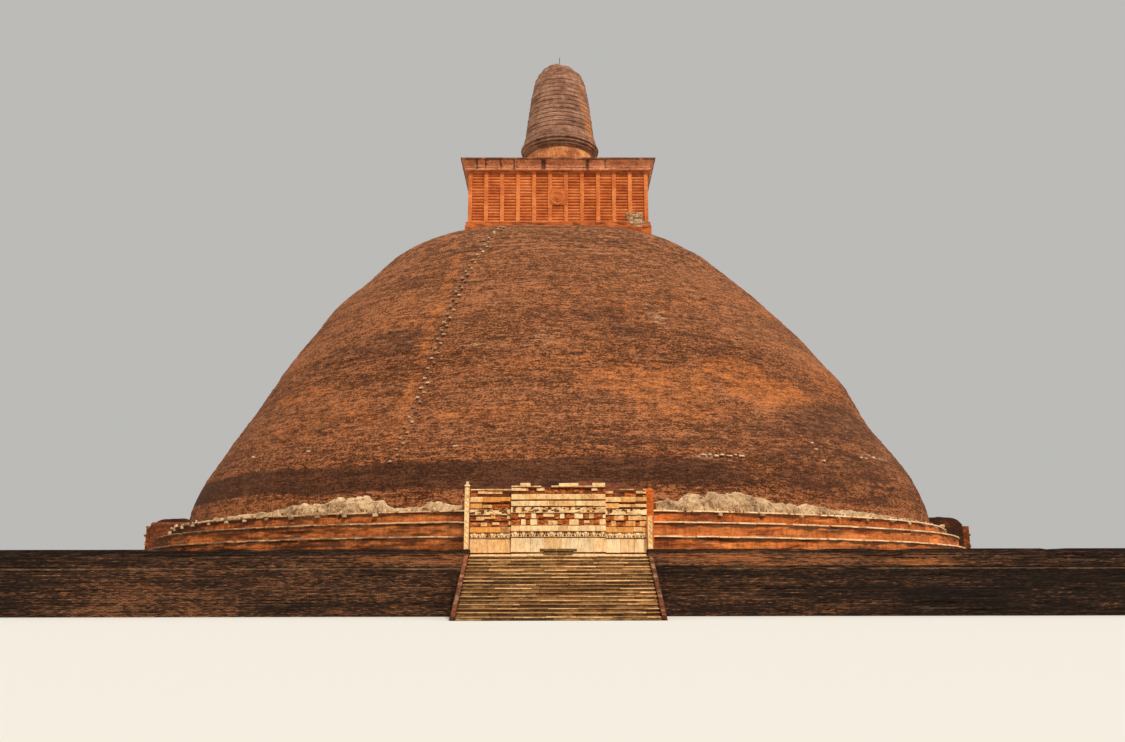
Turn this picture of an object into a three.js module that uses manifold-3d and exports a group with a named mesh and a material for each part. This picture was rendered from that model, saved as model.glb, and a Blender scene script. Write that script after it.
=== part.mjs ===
// A great brick stupa on its square terrace, as a 1:10 scale model.
// Every size below is the real monument's, in metres. The outer group turns metres
// into model millimetres. The front faces -Y and the origin is on the ground, on the axis.
import * as THREE from 'three';
import { mergeVertices } from 'three/addons/utils/BufferGeometryUtils.js';
import Module from 'manifold-3d';

const wasm = await Module();
wasm.setup();

const MODEL_MM_PER_METRE = 100;
const GAP = 0.003;
const ROUND = 72;
const SIDES = ['front', 'right', 'back', 'left'];

// Square terrace with its retaining walls and four flights of steps.
const TERRACE = { half: 81.4, paved: 3.1, wallTop: 3.45, wallThickness: 1.2 };
const WALL_LEDGE = { bottom: 2.42, top: 2.52, proud: 0.1, footProud: 0.05 };
const STAIR = { width: 9.45, risers: 17, tread: 0.375, kerbWidth: 0.38, kerbRise: 0.14 };

// Three round basal tiers, each with a course of stone paving over it that shows on its ledge.
const PAVING = 0.18;
const PAVING_OVERHANG = 0.12;
const TIERS = [
  { name: 'lower', radius: 52.05, top: 5.67 },
  { name: 'middle', radius: 51.4, top: 6.92 },
  { name: 'upper', radius: 49.9, top: 8.0 },
];
const TERRACE_TOP = TIERS[2].top;
const DOME_FOOT = TERRACE_TOP;

// Radius and height of the dome's outline from its foot to the chamber.
const DOME = [
  [47.55, DOME_FOOT], [47.3, 10], [46.75, 12], [45.9, 14], [44.75, 16], [43.5, 18],
  [42.2, 20], [40.95, 22], [39.9, 24], [38.85, 26], [37.6, 28], [36.2, 30],
  [34.75, 32], [33.25, 34], [31.6, 36], [29.8, 38], [27.85, 40], [25.8, 42],
  [23.5, 44], [20.8, 45.6], [17.6, 47.0], [14.6, 48.0], [12.0, 48.8],
];
// The old dome's upper half leans a little towards -X. The shift grows between two heights.
const LEAN = { from: 22, to: 43, shift: 0.95 };
const DOME_TOP = DOME[DOME.length - 1][1];

// Square relic chamber with flat pilasters, and its projecting cornice.
const CHAMBER = {
  foot: DOME_TOP, plinthReach: 2.7, plinthTop: 49.15, plinthHalf: 12.5, half: 12.17, top: 56.5,
  corniceTop: 58.1, pilasters: 12, pilasterWidth: 0.62, panelDepth: 0.3,
};
// Half width and height of the cornice's outline above the chamber's top.
const CORNICE = [
  [12.3, 0], [12.62, 0.12], [12.62, 0.36], [12.5, 0.4],
  [12.72, 0.95], [13.12, 1.38], [13.2, 1.42], [13.2, 1.6],
];

// Spire: plain drum, ring moulding and a cone of ring courses with a rounded top.
const SPIRE_ROUND = 40;
const DRUM = { radius: 4.94, top: 63.9 };
const RING_MOULDING = [
  [5.05, DRUM.top], [5.35, 64.15], [5.35, 64.4], [5.62, 64.55], [5.62, 64.8],
  [5.8, 64.95], [5.8, 65.3], [5.55, 65.5], [5.55, 65.8], [5.38, 65.95], [5.38, 66.5],
];
const MOULDING_TOP = 66.5;
const CONE = { rings: 15, groove: 0.11, grooveHeight: 0.12 };
const CONE_SIDE = [[5.26, 66.5], [4.9, 69.5], [4.42, 73.2], [3.86, 76.2], [3.38, 77.4]];
const CONE_CAP = [[2.8, 78.15], [2.0, 78.75], [1.2, 79.1], [0.3, 79.35]];
const ROD = { radius: 0.05, height: 1.6, facets: 12 };
// The whole spire stands a little to the right of the chamber's middle.
const SPIRE_OFFSET = 0.25;

// Frontispiece: stone facing in courses, the brick mass behind it, stelae and altar.
const FRONTISPIECE = {
  face: 53.9, half: 7.25, centreHalf: 3.87, wingSetBack: 0.25, facingBack: 52.7, inner: 46.4,
};
const COURSES = [
  { top: 4.25, proud: 0.3 }, { top: 5.25, proud: 0 }, { top: 5.9, proud: 0.12 },
  { top: 6.3, proud: 0.18 }, { top: 7.34, proud: 0.02 }, { top: 7.78, proud: 0.13 },
  { top: 8.75, proud: 0.17 }, { top: 9.1, proud: -0.06 }, { top: 9.55, proud: 0.08 },
];
const CENTRE_TOP = { top: 9.95, proud: 0 };
const CORE_TOP = [[0, 9.2], [0.4, 9.8], [1.2, 10.2], [3.2, 10.35], [4.6, 9.9], [6.3, 9.3]];
// Two stelae that the photograph shows gone, at the near ends of the side frontispieces.
const GONE = ['stele_left_right', 'stele_right_left'];
const STELE = { width: 0.44, depth: 0.34, clearance: 0.06, tall: 9.9, broken: 7.1 };
const PIER_WIDTH = 0.58;
const PIER_TOP = 9.4;
const ALTAR = { width: 2.95, depth: 1.3, slab: 0.2, height: 1.3, overhang: 0.3, standOff: 0.5 };

// Mortar that remains on the top tier: [degrees from the front axis, height].
const REMAINS_LEFT = [
  [10.5, 0.45], [13, 0.8], [16, 0.4], [18.5, 0.35], [20.5, 1.45], [25, 1.55], [28, 0.95],
  [31, 1.1], [35, 0.6], [42, 0.5], [50, 0.35], [60, 0.3], [72, 0.35], [79.5, 0.25],
];
const REMAINS_RIGHT = [
  [10.5, 0.7], [13.5, 1.35], [17, 1.7], [21, 1.6], [25, 1.05], [29, 0.9], [35, 0.65],
  [43, 0.5], [52, 0.35], [62, 0.3], [72, 0.35], [79.5, 0.25],
];
const REMAINS = { width: 1.15, crest: 0.45, shoulder: 0.62, sink: 0.6 };

const FINISH = {
  domeBrick: { color: 0x7b4a31, roughness: 0.95 },
  tierBrick: { color: 0x9a4a26, roughness: 0.95 },
  chamberBrick: { color: 0xb9592b, roughness: 0.9 },
  spireBrick: { color: 0x84573c, roughness: 0.93 },
  darkBrick: { color: 0x48291d, roughness: 0.95 },
  limestone: { color: 0xcdb47f, roughness: 0.85 },
  pavingStone: { color: 0xb9a78a, roughness: 0.88 },
  stairStone: { color: 0x7d6842, roughness: 0.9 },
  mortar: { color: 0xa8977a, roughness: 0.97 },
  altarStone: { color: 0x8d877a, roughness: 0.85 },
  copper: { color: 0x6a5a48, roughness: 0.5, metalness: 0.9 },
};

// A solid of revolution about the vertical axis. The profile runs from the axis at the
// bottom round to the axis at the top, or closes on itself, with the material on its left.
function revolve(profile, segments = ROUND) {
  const shape = new THREE.LatheGeometry(profile.map(([r, z]) => new THREE.Vector2(r, z)), segments);
  return shape.rotateX(Math.PI / 2);
}

function disc(radius, bottom, top) {
  return revolve([[0, bottom], [radius, bottom], [radius, top], [0, top]]);
}

function block(x0, x1, y0, y1, z0, z1) {
  const shape = new THREE.BoxGeometry(x1 - x0, y1 - y0, z1 - z0);
  return shape.translate((x0 + x1) / 2, (y0 + y1) / 2, (z0 + z1) / 2);
}

// A section given as [distance out from the axis, height], drawn out along X on the front side.
function frontSection(section, x0, x1) {
  const outline = new THREE.Shape(section.map(([out, z]) => new THREE.Vector2(out, z)));
  const shape = new THREE.ExtrudeGeometry(outline, { depth: x1 - x0, bevelEnabled: false });
  const toFront = new THREE.Matrix4().makeBasis(
    new THREE.Vector3(0, -1, 0), new THREE.Vector3(0, 0, 1), new THREE.Vector3(-1, 0, 0));
  return shape.applyMatrix4(toFront).translate(x1, 0, 0);
}

// A plan outline drawn upwards from one height to another.
function prism(plan, bottom, top) {
  const outline = new THREE.Shape(plan.map(([x, y]) => new THREE.Vector2(x, y)));
  const shape = new THREE.ExtrudeGeometry(outline, { depth: top - bottom, bevelEnabled: false });
  return shape.translate(0, 0, bottom);
}

function toSolid(geometry) {
  const bare = geometry.clone();
  bare.deleteAttribute('normal');
  bare.deleteAttribute('uv');
  const welded = mergeVertices(bare, 1e-5);
  const triangles = [];
  for (let i = 0; i < welded.index.count; i += 3) {
    const [a, b, c] = [0, 1, 2].map((corner) => welded.index.getX(i + corner));
    if (a !== b && b !== c && c !== a) triangles.push(a, b, c);
  }
  return new wasm.Manifold(new wasm.Mesh({
    numProp: 3,
    vertProperties: new Float32Array(welded.attributes.position.array),
    triVerts: new Uint32Array(triangles),
  }));
}

function toGeometry(solid) {
  const mesh = solid.getMesh();
  const geometry = new THREE.BufferGeometry();
  geometry.setAttribute('position', new THREE.BufferAttribute(mesh.vertProperties, 3));
  geometry.setIndex(new THREE.BufferAttribute(mesh.triVerts, 1));
  geometry.computeVertexNormals();
  return geometry;
}

function turned(geometry, quarter) {
  return geometry.clone().rotateZ(quarter * Math.PI / 2);
}

const monument = new THREE.Group();
monument.scale.setScalar(MODEL_MM_PER_METRE);

function place(name, geometry, finish, parent = monument) {
  const mesh = new THREE.Mesh(geometry, new THREE.MeshStandardMaterial(FINISH[finish]));
  mesh.name = name;
  parent.add(mesh);
}

const quarters = SIDES.map((side, quarter) => {
  const group = new THREE.Group();
  group.name = side;
  group.rotation.z = quarter * Math.PI / 2;
  monument.add(group);
  return group;
});

function buildTerrace() {
  const { half, paved, wallTop, wallThickness } = TERRACE;
  const inner = half - wallThickness;
  place('platform_fill', block(-inner, inner, -inner, inner, 0, paved), 'pavingStone');

  const { bottom, top, proud, footProud } = WALL_LEDGE;
  const square = (reach, from, to) => toSolid(block(-reach, reach, -reach, reach, from, to));
  const ring = square(half, 0, wallTop)
    .add(square(half + footProud, 0, bottom))
    .add(square(half + proud, bottom, top))
    .subtract(square(inner + GAP, -1, wallTop + 1));
  const far = half + 1;
  const quarter = toSolid(prism([[GAP - far, -far], [far - GAP, -far], [0, -GAP]], -1, wallTop + 1));
  const halfStair = STAIR.width / 2;
  const halfFlight = halfStair + STAIR.kerbWidth + GAP;
  const gateway = toSolid(block(-halfStair, halfStair, -half - 1, 1 - inner, paved, wallTop + 1));
  const seat = toSolid(block(-halfFlight, halfFlight, -half - 1, -half, -1, wallTop - GAP));
  const wall = toGeometry(ring.intersect(quarter).subtract(gateway).subtract(seat));
  SIDES.forEach((side, index) => place(`retaining_wall_${side}`, wall, 'darkBrick', quarters[index]));
}

function buildStair() {
  const { width, risers, tread, kerbWidth, kerbRise } = STAIR;
  const rise = TERRACE.paved / risers;
  const start = TERRACE.half + GAP;
  const steps = [[start, 0]];
  const foot = TERRACE.half + (risers - 1) * tread;
  for (let step = 0; step < risers - 1; step += 1) {
    const out = foot - step * tread;
    steps.push([out, step * rise], [out, (step + 1) * rise]);
  }
  steps.push([start, (risers - 1) * rise]);
  const kerb = [
    [start, 0], [foot + kerbRise, 0], [foot + kerbRise, kerbRise + rise],
    [start, TERRACE.paved + kerbRise],
  ];
  let flight = toSolid(frontSection(steps, -width / 2, width / 2));
  for (const side of [-1, 1]) {
    const near = side * (width / 2 - GAP);
    const far = side * (width / 2 + kerbWidth);
    flight = flight.add(toSolid(frontSection(kerb, Math.min(near, far), Math.max(near, far))));
  }
  const geometry = toGeometry(flight);
  SIDES.forEach((side, quarter) => place(`stair_${side}`, geometry, 'stairStone', quarters[quarter]));
}

// The dome's solid, grown sideways and downwards by a clearance where it cuts its neighbours.
function domeShape(clearance = 0) {
  const side = DOME.map(([radius, height]) => [radius + clearance, height]);
  const foot = DOME_FOOT - clearance;
  const shape = revolve([[0, foot], [side[0][0], foot], ...side, [0, DOME_TOP + clearance]]);
  const points = shape.attributes.position;
  for (let index = 0; index < points.count; index += 1) {
    const lean = LEAN.shift * THREE.MathUtils.smoothstep(points.getZ(index), LEAN.from, LEAN.to);
    points.setX(index, points.getX(index) - lean);
  }
  return shape;
}

// The room that the four frontispieces take out of the round tiers.
function frontispieceRoom() {
  const left = -FRONTISPIECE.half - GAP;
  const right = FRONTISPIECE.half + PIER_WIDTH + GAP;
  const room = block(left, right, -TIERS[0].radius - 1, GAP - FRONTISPIECE.inner, 0, DOME_TOP);
  return SIDES.map((side, quarter) => toSolid(turned(room, quarter)));
}

function cutRoom(geometry) {
  return toGeometry(frontispieceRoom().reduce((solid, room) => solid.subtract(room), toSolid(geometry)));
}

function buildTiers() {
  let bottom = TERRACE.paved;
  TIERS.forEach(({ name, radius, top }) => {
    place(`basal_tier_${name}`, cutRoom(disc(radius, bottom, top - PAVING)), 'tierBrick');
    bottom = top - PAVING;
    place(`coping_${name}`, cutRoom(disc(radius + PAVING_OVERHANG, bottom, top)), 'pavingStone');
    bottom = top;
  });
}

function buildDome() {
  place('dome', toGeometry(toSolid(domeShape())), 'domeBrick');
}

// Plan of the chamber: a square whose sides step back between flat pilasters.
function chamberPlan() {
  const { half, pilasters, pilasterWidth, panelDepth } = CHAMBER;
  const pitch = (2 * half - pilasterWidth) / (pilasters - 1);
  const front = [];
  for (let index = 0; index < pilasters; index += 1) {
    const left = -half + index * pitch;
    const right = left + pilasterWidth;
    if (index > 0) front.push([left, -half + panelDepth]);
    front.push([left, -half]);
    if (index < pilasters - 1) front.push([right, -half], [right, -half + panelDepth]);
  }
  const plan = [];
  for (let quarter = 0; quarter < 4; quarter += 1) {
    const [c, s] = [Math.round(Math.cos(quarter * Math.PI / 2)), Math.round(Math.sin(quarter * Math.PI / 2))];
    plan.push(...front.map(([x, y]) => [c * x - s * y, s * x + c * y]));
  }
  return plan;
}

function buildChamber() {
  const { foot, plinthReach, plinthTop, plinthHalf, top, corniceTop } = CHAMBER;
  const square = (reach, from, to) => block(-reach, reach, -reach, reach, from, to);
  const plinth = square(plinthHalf, foot - plinthReach, plinthTop);
  const standing = toSolid(plinth).subtract(toSolid(domeShape(GAP)));
  place('chamber_plinth', toGeometry(standing), 'chamberBrick');
  place('chamber', prism(chamberPlan(), plinthTop, top), 'chamberBrick');
  const corners = CORNICE.map(([reach, rise]) => [reach * Math.SQRT2, top + rise]);
  const cornice = revolve([[0, top], ...corners, [0, corniceTop]], 4).rotateZ(Math.PI / 4);
  place('chamber_cornice', cornice, 'chamberBrick');
}

function buildSpire() {
  const column = new THREE.Group();
  column.position.x = SPIRE_OFFSET;
  monument.add(column);
  const foot = CHAMBER.corniceTop;
  const drum = [[0, foot], [DRUM.radius, foot], [DRUM.radius, DRUM.top], [0, DRUM.top]];
  place('spire_drum', revolve(drum, SPIRE_ROUND), 'chamberBrick', column);
  const moulding = [[0, DRUM.top], ...RING_MOULDING, [0, MOULDING_TOP]];
  place('spire_ring_moulding', revolve(moulding, SPIRE_ROUND), 'spireBrick', column);
  const top = CONE_CAP.at(-1)[1];
  const cone = [[0, MOULDING_TOP], ...coneSide(), ...CONE_CAP, [0, top]];
  place('spire', revolve(cone, SPIRE_ROUND), 'spireBrick', column);
  const rod = new THREE.CylinderGeometry(ROD.radius, ROD.radius, ROD.height, ROD.facets);
  rod.rotateX(Math.PI / 2).translate(0, 0, top + ROD.height / 2);
  place('lightning_rod', rod, 'copper', column);
}

// The cone's side with a shallow groove under each ring course.
function coneSide() {
  const radiusAt = (height) => {
    const index = Math.max(1, CONE_SIDE.findIndex(([, z]) => z > height - GAP));
    const [[r0, z0], [r1, z1]] = [CONE_SIDE[index - 1], CONE_SIDE[index]];
    return r0 + (r1 - r0) * (height - z0) / (z1 - z0);
  };
  const [bottom, top] = [CONE_SIDE[0][1], CONE_SIDE.at(-1)[1]];
  const course = (top - bottom) / CONE.rings;
  const side = [[CONE_SIDE[0][0], bottom]];
  for (let index = 1; index <= CONE.rings; index += 1) {
    const height = bottom + index * course;
    side.push([radiusAt(height - CONE.grooveHeight), height - CONE.grooveHeight]);
    side.push([radiusAt(height) - CONE.groove, height]);
  }
  return side;
}

function courseSection(face, courses) {
  const section = [[FRONTISPIECE.facingBack, TERRACE.paved]];
  let bottom = TERRACE.paved;
  for (const { top, proud } of courses) {
    section.push([face + proud, bottom], [face + proud, top]);
    bottom = top;
  }
  section.push([FRONTISPIECE.facingBack, bottom]);
  return section;
}

function buildFrontispieces() {
  const { face, half, centreHalf, wingSetBack, facingBack, inner } = FRONTISPIECE;
  const floor = TERRACE.paved + GAP;
  const centreSection = courseSection(face, [...COURSES, CENTRE_TOP]);
  const wingSection = courseSection(face - wingSetBack, COURSES);
  const centre = toSolid(frontSection(centreSection, -centreHalf, centreHalf));
  const wings = toSolid(frontSection(wingSection, -half, half));
  const facing = toGeometry(centre.add(wings).translate(0, 0, GAP));

  const coreFace = facingBack - GAP;
  const coreSection = [[inner, floor], [coreFace, floor]];
  coreSection.push(...CORE_TOP.map(([into, height]) => [coreFace - into, height]));
  const pier = toSolid(block(half - PIER_WIDTH, half + PIER_WIDTH, -coreFace, -inner, floor, PIER_TOP));
  const mass = toSolid(frontSection(coreSection, -half, half));
  const masonry = toGeometry(mass.add(pier).subtract(toSolid(domeShape(GAP))));

  const steleFace = face + STELE.clearance;
  const stele = (x, top) => block(x, x + STELE.width, -steleFace - STELE.depth, -steleFace, floor, top);
  const leftStele = stele(-half - STELE.width, STELE.tall);
  const rightStele = stele(half, STELE.broken);

  const altarBack = face + COURSES[0].proud + ALTAR.standOff;
  const altarTop = floor + ALTAR.height;
  const slab = block(-ALTAR.width / 2, ALTAR.width / 2, -altarBack - ALTAR.depth, -altarBack,
    altarTop - ALTAR.slab, altarTop);
  const tableHalf = ALTAR.width / 2 - ALTAR.overhang;
  const table = block(-tableHalf, tableHalf, -altarBack - ALTAR.depth + ALTAR.overhang / 2,
    -altarBack - ALTAR.overhang / 2, floor, altarTop - ALTAR.slab + GAP);
  const altar = toGeometry(toSolid(slab).add(toSolid(table)));

  SIDES.forEach((side, quarter) => {
    place(`frontispiece_facing_${side}`, facing, 'limestone', quarters[quarter]);
    place(`frontispiece_masonry_${side}`, masonry, 'tierBrick', quarters[quarter]);
    for (const [name, stele] of [[`stele_left_${side}`, leftStele], [`stele_right_${side}`, rightStele]]) {
      if (!GONE.includes(name)) place(name, stele, 'limestone', quarters[quarter]);
    }
    place(`altar_${side}`, altar, 'altarStone', quarters[quarter]);
  });
}

// A heap that follows the dome's foot. Each station is one upright section of it.
function heap(stations, mirror) {
  const { width, crest, shoulder, sink } = REMAINS;
  const foot = DOME[0][0];
  const points = [];
  for (const [degrees, height] of stations) {
    const angle = THREE.MathUtils.degToRad(degrees) * mirror;
    const section = [
      [foot - sink, TERRACE_TOP], [foot + width, TERRACE_TOP],
      [foot + width * shoulder, TERRACE_TOP + height * 0.7], [foot + crest * 0.5, TERRACE_TOP + height],
      [foot - sink, TERRACE_TOP + height],
    ];
    points.push(section.map(([r, z]) => [r * Math.sin(angle), -r * Math.cos(angle), z]));
  }
  const corners = points[0].length;
  const index = [];
  const flip = (a, b, c) => (mirror < 0 ? index.push(a, b, c) : index.push(a, c, b));
  for (let station = 0; station < points.length - 1; station += 1) {
    for (let corner = 0; corner < corners; corner += 1) {
      const next = (corner + 1) % corners;
      const [a, b] = [station * corners + corner, station * corners + next];
      flip(a, b, a + corners);
      flip(b, b + corners, a + corners);
    }
  }
  const last = (points.length - 1) * corners;
  for (let corner = 1; corner < corners - 1; corner += 1) {
    flip(0, corner + 1, corner);
    flip(last, last + corner, last + corner + 1);
  }
  const geometry = new THREE.BufferGeometry();
  geometry.setAttribute('position', new THREE.Float32BufferAttribute(points.flat(2), 3));
  geometry.setIndex(index);
  return geometry;
}

function buildRemains() {
  const dome = toSolid(domeShape(GAP));
  const left = toGeometry(toSolid(heap(REMAINS_LEFT, -1)).subtract(dome));
  const right = toGeometry(toSolid(heap(REMAINS_RIGHT, 1)).subtract(dome));
  for (const [side, quarter] of [['front', 0], ['back', 2]]) {
    place(`mortar_remains_${side}_left`, left, 'mortar', quarters[quarter]);
    place(`mortar_remains_${side}_right`, right, 'mortar', quarters[quarter]);
  }
}

buildTerrace();
buildStair();
buildTiers();
buildDome();
buildChamber();
buildSpire();
buildFrontispieces();
buildRemains();

export default monument;
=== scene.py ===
"""Dresses the great brick stupa in weathered brick, stone and mortar.

Sizes are the real monument's, in metres, and METRE turns them into the 1:10 model's metres.
The front faces -Y. An azimuth is measured from the front axis and grows towards +X.
"""
from __future__ import annotations

import logging
import math
from collections.abc import Callable, Sequence
from dataclasses import dataclass, field
from enum import Enum

import bpy
import numpy as np
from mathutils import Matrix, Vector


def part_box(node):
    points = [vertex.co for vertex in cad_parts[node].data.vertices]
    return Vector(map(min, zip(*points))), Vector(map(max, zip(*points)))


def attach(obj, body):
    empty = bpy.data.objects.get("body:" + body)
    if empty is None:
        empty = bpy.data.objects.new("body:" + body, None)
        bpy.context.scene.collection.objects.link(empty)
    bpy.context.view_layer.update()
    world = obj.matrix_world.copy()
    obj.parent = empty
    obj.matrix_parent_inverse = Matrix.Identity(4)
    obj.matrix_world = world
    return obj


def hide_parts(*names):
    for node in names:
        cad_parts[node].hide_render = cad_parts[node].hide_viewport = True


Array = np.ndarray
Material, Node, Socket = bpy.types.Material, bpy.types.Node, bpy.types.NodeSocket
Random, seeded = np.random.Generator, np.random.default_rng
Colour = tuple[int, int, int]
Span = tuple[float, float]

METRE = 0.1
SIDES = ("front", "right", "back", "left")
UV_NAME = "metres"
PAINTS = ("tone", "stain", "worn", "pale")
OVERLAY = 0.85
LOG = logging.getLogger("stupa")

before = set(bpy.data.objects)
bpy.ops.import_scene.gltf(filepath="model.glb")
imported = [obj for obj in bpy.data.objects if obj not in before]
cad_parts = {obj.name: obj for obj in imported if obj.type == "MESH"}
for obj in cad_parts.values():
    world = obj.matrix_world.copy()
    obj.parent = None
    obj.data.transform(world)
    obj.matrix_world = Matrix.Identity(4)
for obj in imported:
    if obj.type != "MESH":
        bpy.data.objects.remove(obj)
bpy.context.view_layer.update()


# Small helpers on numbers and shapes.


def linear(colour: Colour) -> tuple[float, float, float, float]:
    """Turns an sRGB colour of 0 to 255 into the linear RGBA that shader sockets hold."""
    shares = [channel / 255 for channel in colour]
    light = [s / 12.92 if s <= 0.04045 else ((s + 0.055) / 1.055) ** 2.4 for s in shares]
    return (*light, 1.0)


def unit(value: Array) -> Array:
    """Keeps values between 0 and 1."""
    return np.clip(value, 0, 1)


def coat(tone: Array, stain: Array | float = 0, worn: Array | float = 0, pale: Array | float = 0) -> Array:
    """Joins the paint of points: tone, stain, worn and pale."""
    return np.stack(np.broadcast_arrays(tone, stain, worn, pale), -1)


def ease(value: Array, low: float, high: float) -> Array:
    """Rises smoothly from 0 at low to 1 at high."""
    share = unit((value - low) / (high - low))
    return share * share * (3 - 2 * share)


def within(value: Array, low: float, high: float, soft: float) -> Array:
    """Is 1 between low and high and fades to 0 over a soft border."""
    return ease(value, low - soft, low + soft) * (1 - ease(value, high - soft, high + soft))


def hill(value: Array, centre: float, width: float) -> Array:
    """Is 1 at the centre and falls away like a bell over the width."""
    return np.exp(-(((value - centre) / width) ** 2))


def flowing(at: Array, knots: Array, values: Array) -> Array:
    """Reads a smooth cubic curve through the knots.

    Args:
        at: where the curve is read.
        knots: rising places of the known values.
        values: the known values.

    Returns:
        The curve's values at the places asked for.
    """
    slopes = np.gradient(values, knots)
    index = np.clip(np.searchsorted(knots, at) - 1, 0, len(knots) - 2)
    span = knots[index + 1] - knots[index]
    t = unit((at - knots[index]) / span)
    start = (1 + 2 * t) * (1 - t) ** 2 * values[index] + t * (1 - t) ** 2 * slopes[index] * span
    end = t * t * (3 - 2 * t) * values[index + 1] + t * t * (t - 1) * slopes[index + 1] * span
    return start + end


def real_box(node: str) -> tuple[Array, Array]:
    """Gives a frame node's lowest and highest corners in real metres."""
    low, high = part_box(node)
    return np.array(low) / METRE, np.array(high) / METRE


def node_points(node: str) -> Array:
    """Gives the corners of a frame node's mesh in real metres."""
    return np.array([corner.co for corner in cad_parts[node].data.vertices]) / METRE


def turned_profile(node: str) -> tuple[Array, Array, Array]:
    """Reads a round node's rings.

    Args:
        node: the frame node's name.

    Returns:
        The rings' heights, their radii, and the X of their middles.
    """
    points = node_points(node)
    heights = np.unique(np.round(points[:, 2], 2))
    rings = [points[np.abs(points[:, 2] - height) < 0.006] for height in heights]
    radii = [np.ptp(ring[:, 0]) / 2 for ring in rings]
    middles = [(ring[:, 0].max() + ring[:, 0].min()) / 2 for ring in rings]
    return heights, np.array(radii), np.array(middles)


def around(out: Array, azimuth: Array, height: Array, middle: Array | float = 0.0) -> Array:
    """Places points by their distance from the axis, azimuth in radians and height."""
    return np.stack(np.broadcast_arrays(middle + out * np.sin(azimuth), -out * np.cos(azimuth), height), -1)


def straight(out: Array, along: Array, height: Array) -> Array:
    """Places points on the front side by distance out from the axis, X and height."""
    return np.stack(np.broadcast_arrays(along, -out, height), -1)


def quarter_turn(points: Array, side: str) -> Array:
    """Turns points made for the front to another side.

    Args:
        points: places on the front side.
        side: the side that gets them.

    Returns:
        The turned places.
    """
    cosine, sine = [(1, 0), (0, 1), (-1, 0), (0, -1)][SIDES.index(side)]
    x, y = points[..., 0], points[..., 1]
    return np.stack([cosine * x - sine * y, sine * x + cosine * y, points[..., 2]], -1)


def path_lengths(points: Array) -> Array:
    """Measures how far along a drawn line each of its points lies."""
    return np.concatenate([[0], np.cumsum(np.hypot(*np.diff(points[:, :2], axis=0).T))])


def turn_about_z(angle: Array) -> Array:
    """Gives the rotation matrices for angles in radians about the upright axis."""
    c, s, o, i = np.cos(angle), np.sin(angle), np.zeros_like(angle), np.ones_like(angle)
    return np.stack([np.stack([c, -s, o], -1), np.stack([s, c, o], -1), np.stack([o, o, i], -1)], -2)


@dataclass(frozen=True)
class Noise:
    """Seeded smooth noise between -1 and 1, in real metres."""

    seed: int

    def __call__(self, points: Array, size: float | tuple[float, float, float], octaves: int = 1) -> Array:
        """Reads the noise at points.

        Args:
            points: places in real metres.
            size: how far apart its hills are, along each axis.
            octaves: how many finer layers are added.

        Returns:
            One value for each point.
        """
        place = points / np.broadcast_to(np.asarray(size, float), 3)
        layers = [0.5**octave * self._smooth(place * 2**octave + 17.3 * octave) for octave in range(octaves)]
        return sum(layers) / sum(0.5**octave for octave in range(octaves))

    def _smooth(self, place: Array) -> Array:
        """Blends the lattice values round each place.

        Args:
            place: places measured in cells of the lattice.

        Returns:
            One value between -1 and 1 for each place.
        """
        cell = np.floor(place).astype(np.int64)
        part = place - cell
        part = part * part * (3 - 2 * part)
        total = np.zeros(place.shape[:-1])
        for corner in np.ndindex(2, 2, 2):
            weight = np.prod(np.where(corner, part, 1 - part), axis=-1)
            total += weight * self._lattice(cell + np.array(corner))
        return total * 2 - 1

    def _lattice(self, cell: Array) -> Array:
        """Gives cells their random values.

        Args:
            cell: whole numbers of the cells.

        Returns:
            One value between 0 and 1 for each cell.
        """
        mixed = cell @ np.array([374761393, 668265263, 1440662683]) + self.seed * 1274126177
        mixed &= 0xFFFFFFFF
        mixed = ((mixed ^ (mixed >> 13)) * 1274126177) & 0xFFFFFFFF
        return ((mixed ^ (mixed >> 16)) & 0xFFFF) / 0xFFFF


def block_template() -> tuple[Array, Array, list[Array]]:
    """Makes a block whose edges and corners are all worn off.

    Returns:
        The eight corners' signs for the 24 points, which axis each point keeps whole, and the
        faces as quads and triangles of point numbers.
    """
    signs = np.array([[x, y, z] for x in (-1, 1) for y in (-1, 1) for z in (-1, 1)], float)
    corner = np.repeat(np.arange(8), 3)
    axis = np.tile(np.arange(3), 8)
    place = signs[corner] * np.where(axis[:, None] == np.arange(3), 1.0, 0.8)

    def facing(ring: list[int]) -> list[int]:
        """Turns a ring of points so that its face looks away from the block's middle."""
        points = place[ring]
        normal = np.cross(points[1] - points[0], points[2] - points[0])
        return ring if normal @ points.mean(0) > 0 else ring[::-1]

    def point(sign: Sequence[int], kept: int) -> int:
        """Finds the point of the corner with these signs that keeps an axis whole."""
        number = int((sign[0] > 0) * 4 + (sign[1] > 0) * 2 + (sign[2] > 0))
        return number * 3 + kept

    quads, triangles = [], []
    for kept in range(3):
        b, c = (kept + 1) % 3, (kept + 2) % 3
        for sign in (-1, 1):
            ring = []
            for pair in ((-1, -1), (1, -1), (1, 1), (-1, 1)):
                spot = [0, 0, 0]
                spot[kept], spot[b], spot[c] = sign, *pair
                ring.append(point(spot, kept))
            quads.append(facing(ring))
            for other in (-1, 1):
                edge = []
                for run, keep in ((-1, kept), (1, kept), (1, b), (-1, b)):
                    spot = [0, 0, 0]
                    spot[kept], spot[b], spot[c] = sign, other, run
                    edge.append(point(spot, keep))
                quads.append(facing(edge))
    for number in range(8):
        triangles.append(facing([number * 3, number * 3 + 1, number * 3 + 2]))
    return signs[corner], axis, [np.array(quads), np.array(triangles)]


BLOCK_SIGNS, BLOCK_AXIS, BLOCK_FACES = block_template()
# The six sides of a block with sharp edges, which has one point at each corner.
SHARP_FACES = [BLOCK_FACES[0][::3] // 3]


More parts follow.
